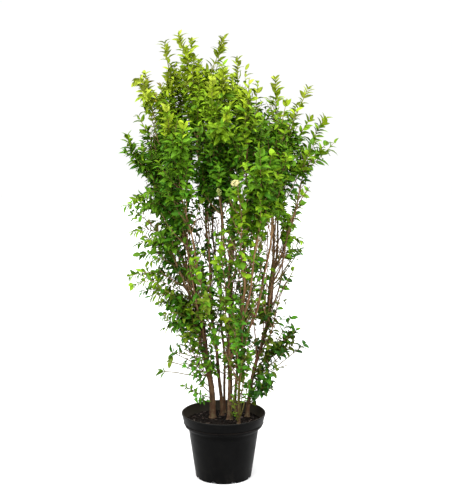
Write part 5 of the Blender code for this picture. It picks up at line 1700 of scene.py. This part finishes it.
def potProfile():
    rim, bead, wall, top = pot["rimRadius"], pot["bead"], pot["wall"], pot["height"]
    base, taper, drop = pot["baseRadius"], pot["collarTaper"], pot["collarDrop"]
    collarLow = top - drop
    wallTop = collarLow - pot["stepHeight"]
    wallTopRadius = rim - taper - pot["collarStep"]
    rings = [(pot["grooveIn"], 0.0), (pot["grooveIn"], pot["grooveDeep"]), (pot["grooveOut"], pot["grooveDeep"]),
             (pot["grooveOut"], 0.0), (base - bead, 0.0), (base, bead)]
    for k in range(1, 8):  # up the wall
        share = k / 8
        rings.append((base + (wallTopRadius - base) * share, bead + (wallTop - bead) * share))
    rings += [(wallTopRadius, wallTop),
              (wallTopRadius + 0.35 * pot["collarStep"], wallTop + 0.55 * pot["stepHeight"]),
              (rim - taper - 0.0012, collarLow - 0.0012), (rim - taper, collarLow + 0.001)]
    for k in range(1, 4):  # up the collar, to a thin line under the bead
        share = k / 4
        rings.append((rim - taper * (1 - share) - 0.0008 * share, collarLow + (drop - 2.4 * bead) * share))
    rings += [(rim - 0.0010, top - 2.2 * bead), (rim - 0.0001, top - 1.9 * bead)]
    for k in range(7):  # the bead
        turn = math.pi * k / 6
        rings.append((rim - 0.95 * bead + 0.95 * bead * math.cos(turn), top - bead + bead * math.sin(turn)))
    inner = [(rim - wall - 0.0012, top - 2.6 * bead), (rim - taper - wall, collarLow + 0.001),
             (wallTopRadius - wall, wallTop), (base - wall, pot["floor"] + 0.004),
             (base - wall - 0.003, pot["floor"])]
    return rings + inner


def makePot():
    made = drawRings("nurseryPot", pot["segments"], potProfile())
    for k in range(pot["notches"]):
        turn = 2 * math.pi * (k + 0.5) / pot["notches"]
        place = (pot["baseRadius"] * math.cos(turn), pot["baseRadius"] * math.sin(turn), 0)
        bpy.ops.mesh.primitive_cube_add(size=1.0, rotation=(0, 0, turn), location=place)
        notch = bpy.context.object
        notch.scale = pot["notchSize"]
        rounding = notch.modifiers.new("round", "BEVEL")
        rounding.width = pot["notchRound"]
        rounding.segments = 2
        applyModifiers(notch)
        cut = made.modifiers.new("notch", "BOOLEAN")
        cut.operation = "DIFFERENCE"
        cut.object = notch
        applyModifiers(made)
        bpy.data.objects.remove(notch)
    soften = made.modifiers.new("soften", "BEVEL")
    soften.width = pot["edgeRound"]
    soften.segments = 1
    soften.limit_method = "ANGLE"
    soften.angle_limit = math.radians(50)
    applyModifiers(made)
    smoothByAngle(made, 35)
    shader = Shader("potPlastic", srgb(9, 9, 10), 0.42)
    cloud = shader.noise(14.0, 4.0)
    dust = shader.noise(60.0, 6.0)
    dark, light = pot["plastic"]
    body = shader.ramp(cloud, (0.35, srgb(*dark)), (0.70, srgb(*light)))
    low = shader.ranged(shader.axis("Z"), 0.0, 0.06, 0.35, 0.0)
    grime = shader.maths("MULTIPLY", shader.ranged(dust, 0.50, 0.72), shader.maths("ADD", low, 0.10))
    # painted highlight: a thin lighter line along the rim's top edge
    paintedRimHighlight = shader.ranged(shader.axis("Z"), pot["height"] - 0.0026, pot["height"] - 0.0008, 0.0, 0.6)
    outside = shader.mixed(paintedRimHighlight, shader.mixed(grime, body, srgb(*pot["grime"])), srgb(*pot["paintedRimHighlight"]))
    # painted light: the inner wall above the compost is made lighter
    squares = [shader.maths("MULTIPLY", shader.axis(name), shader.axis(name)) for name in "XY"]
    across = shader.maths("SQRT", shader.maths("ADD", *squares))
    slope = pot["collarTaper"] / pot["collarDrop"]
    inset = shader.maths("SUBTRACT", across, shader.maths("MULTIPLY", shader.axis("Z"), slope))
    edge = pot["rimRadius"] - pot["height"] * slope - 0.0014
    paintedInnerWallLight = shader.maths("MULTIPLY", shader.ranged(inset, edge - 0.0006, edge, 0.8, 0.0),
                         shader.ranged(shader.axis("Z"), *pot["paintedInnerWallHeights"]))
    shader.colour(shader.mixed(paintedInnerWallLight, outside, srgb(*pot["dust"])))
    shader.roughness(shader.ranged(shader.noise(34.0, 3.0), 0.3, 0.7, 0.32, 0.48))
    shader.relief(shader.noise(900.0, 2.0), 0.12, 0.0003)
    # less shine in the dusty hollow under the collar
    height, dull, shine = pot["hollow"]
    hollow = shader.maths("ABSOLUTE", shader.maths("SUBTRACT", shader.axis("Z"), height))
    shader.shine(shader.ranged(hollow, 0.004, 0.018, dull, shine))
    settle(made, "pot_plastic", shader.material, "pot")
    print("pot made:", len(made.data.polygons), "faces")


makePot()


# Compost: rings drawn up the pot and inwards to the middle, heaped, lumpy, with crumbs, chips and grit on top

compost = {
    "segments": 112,
    "below": [(0.0875, 0.0082), (0.1110, 0.163), (0.1250, 0.177)],  # rings inside the pot: radius, height
    "edgeRadius": 0.1335,
    "edgeHeight": 0.186,
    "middleHeight": 0.194,
    "rings": 30,
    "lumps": (0.022, 0.0085),  # size and height
    "grains": (0.0055, 0.0040),
    "peat": ((5, 3, 2), (15, 9, 5), (36, 24, 15)),
    "chipColours": ((28, 18, 11), (52, 36, 23)),
    "gritColours": ((140, 126, 108), (204, 196, 180)),
    "scatterRadius": 0.128,
    "scatter": {  # how many, sizes, stretch along, across and up
        "compostCrumbs": (900, (0.0012, 0.0042), (1.0, 0.9, 0.7)),
        "barkChips": (120, (0.0016, 0.0034), (2.6, 0.9, 0.45)),
        "paleGrit": (34, (0.0007, 0.0015), (1.0, 0.9, 0.8)),
    },
}


def makeCompost():
    edge, low, high = (compost[key] for key in ("edgeRadius", "edgeHeight", "middleHeight"))
    rings = compost["below"] + [(edge, low)]
    for k in range(1, compost["rings"]):
        share = 1 - k / compost["rings"]
        rings.append((edge * share, low + (high - low) * math.cos(0.5 * math.pi * share)))
    made = drawRings("compostFill", compost["segments"], rings)
    top = made.vertex_groups.new(name="top")
    for point in made.data.vertices:
        if point.co.z > low - 0.0001:
            radius = math.hypot(point.co.x, point.co.y)
            top.add([point.index], min(1.0, 0.25 + (edge - radius) / 0.012), "REPLACE")
    for label in ("lumps", "grains"):
        bumps = addBumps(made, label, *compost[label])
        bumps.direction = "Z"
        bumps.vertex_group = "top"
    applyModifiers(made)
    smoothByAngle(made, 50)
    shader = Shader("compostPeat", srgb(44, 31, 23), 0.96)
    fine = shader.noise(240.0, 6.0)
    dark, middling, light = (srgb(*colour) for colour in compost["peat"])
    base = shader.ramp(fine, (0.30, dark), (0.55, middling), (0.80, light))
    wet = shader.ranged(shader.noise(18.0, 3.0), 0.4, 0.65)
    shader.colour(shader.mixed(shader.maths("MULTIPLY", wet, 0.55), base, dark))
    shader.shine(0.10)
    shader.relief(fine, 0.9, 0.002)
    settle(made, "compost", shader.material, "soil")
    print("compost made:", len(made.data.polygons), "faces")
    return made, shader.material


def speckled(name, plain, roughness, scale, detail, colours, strength, distance):
    shader = Shader(name, srgb(*plain), roughness)
    grain = shader.noise(scale, detail)
    shader.colour(shader.ramp(grain, *((spot, srgb(*colour)) for spot, colour in zip((0.3, 0.7), colours))))
    shader.relief(grain, strength, distance)
    return shader.material


def scatterCrumbs(ground, peat):
    # one knobbly crumb, modelled once and copied all over the compost
    deselectAll()
    bpy.ops.mesh.primitive_ico_sphere_add(subdivisions=2, radius=1.0)
    crumb = bpy.context.object
    rng = random.Random("crumbs")
    bpy.ops.object.mode_set(mode="EDIT")
    bpy.ops.mesh.select_all(action="SELECT")
    bpy.ops.transform.vertex_random(offset=0.28, seed=5)
    bpy.ops.object.mode_set(mode="OBJECT")
    pattern, faces, _ = takenApart(crumb)
    finishes = {
        "compostCrumbs": peat,
        "barkChips": speckled("chipBark", (66, 45, 31), 0.85, 420.0, 4.0, compost["chipColours"], 0.5, 0.0006),
        "paleGrit": speckled("gritStone", (176, 164, 146), 0.8, 600.0, 3.0, compost["gritColours"], 0.4, 0.0004),
    }
    for name, (count, sizes, stretch) in compost["scatter"].items():
        places, corners = [], []
        for k in range(count):
            reach = compost["scatterRadius"] * math.sqrt(rng.random())
            turn = rng.uniform(0, 2 * math.pi)
            x, y = reach * math.cos(turn), reach * math.sin(turn)
            spot = ground.ray_cast(Vector((x, y, 0.4)), Vector((0, 0, -1)))[1]
            size = rng.uniform(*sizes) * (0.6 + 0.8 * rng.random() ** 3)
            spin = Matrix.Rotation(rng.uniform(0, 6.28), 3, "Z") @ Matrix.Rotation(rng.gauss(0, 0.35), 3, "X")
            shape = pattern * np.array(stretch) * size
            places.append(shape @ np.array(spin).T + np.array(spot) + (0, 0, 0.25 * size))
            corners.append(faces + k * len(pattern))
        made = joinedMesh(name, np.concatenate(places), [np.concatenate(corners)])
        smoothByAngle(made, 40)
        settle(made, "compost", finishes[name])
    print("crumbs scattered:", sum(count for count, _, _ in compost["scatter"].values()))


ground, peat = makeCompost()
scatterCrumbs(ground, peat)
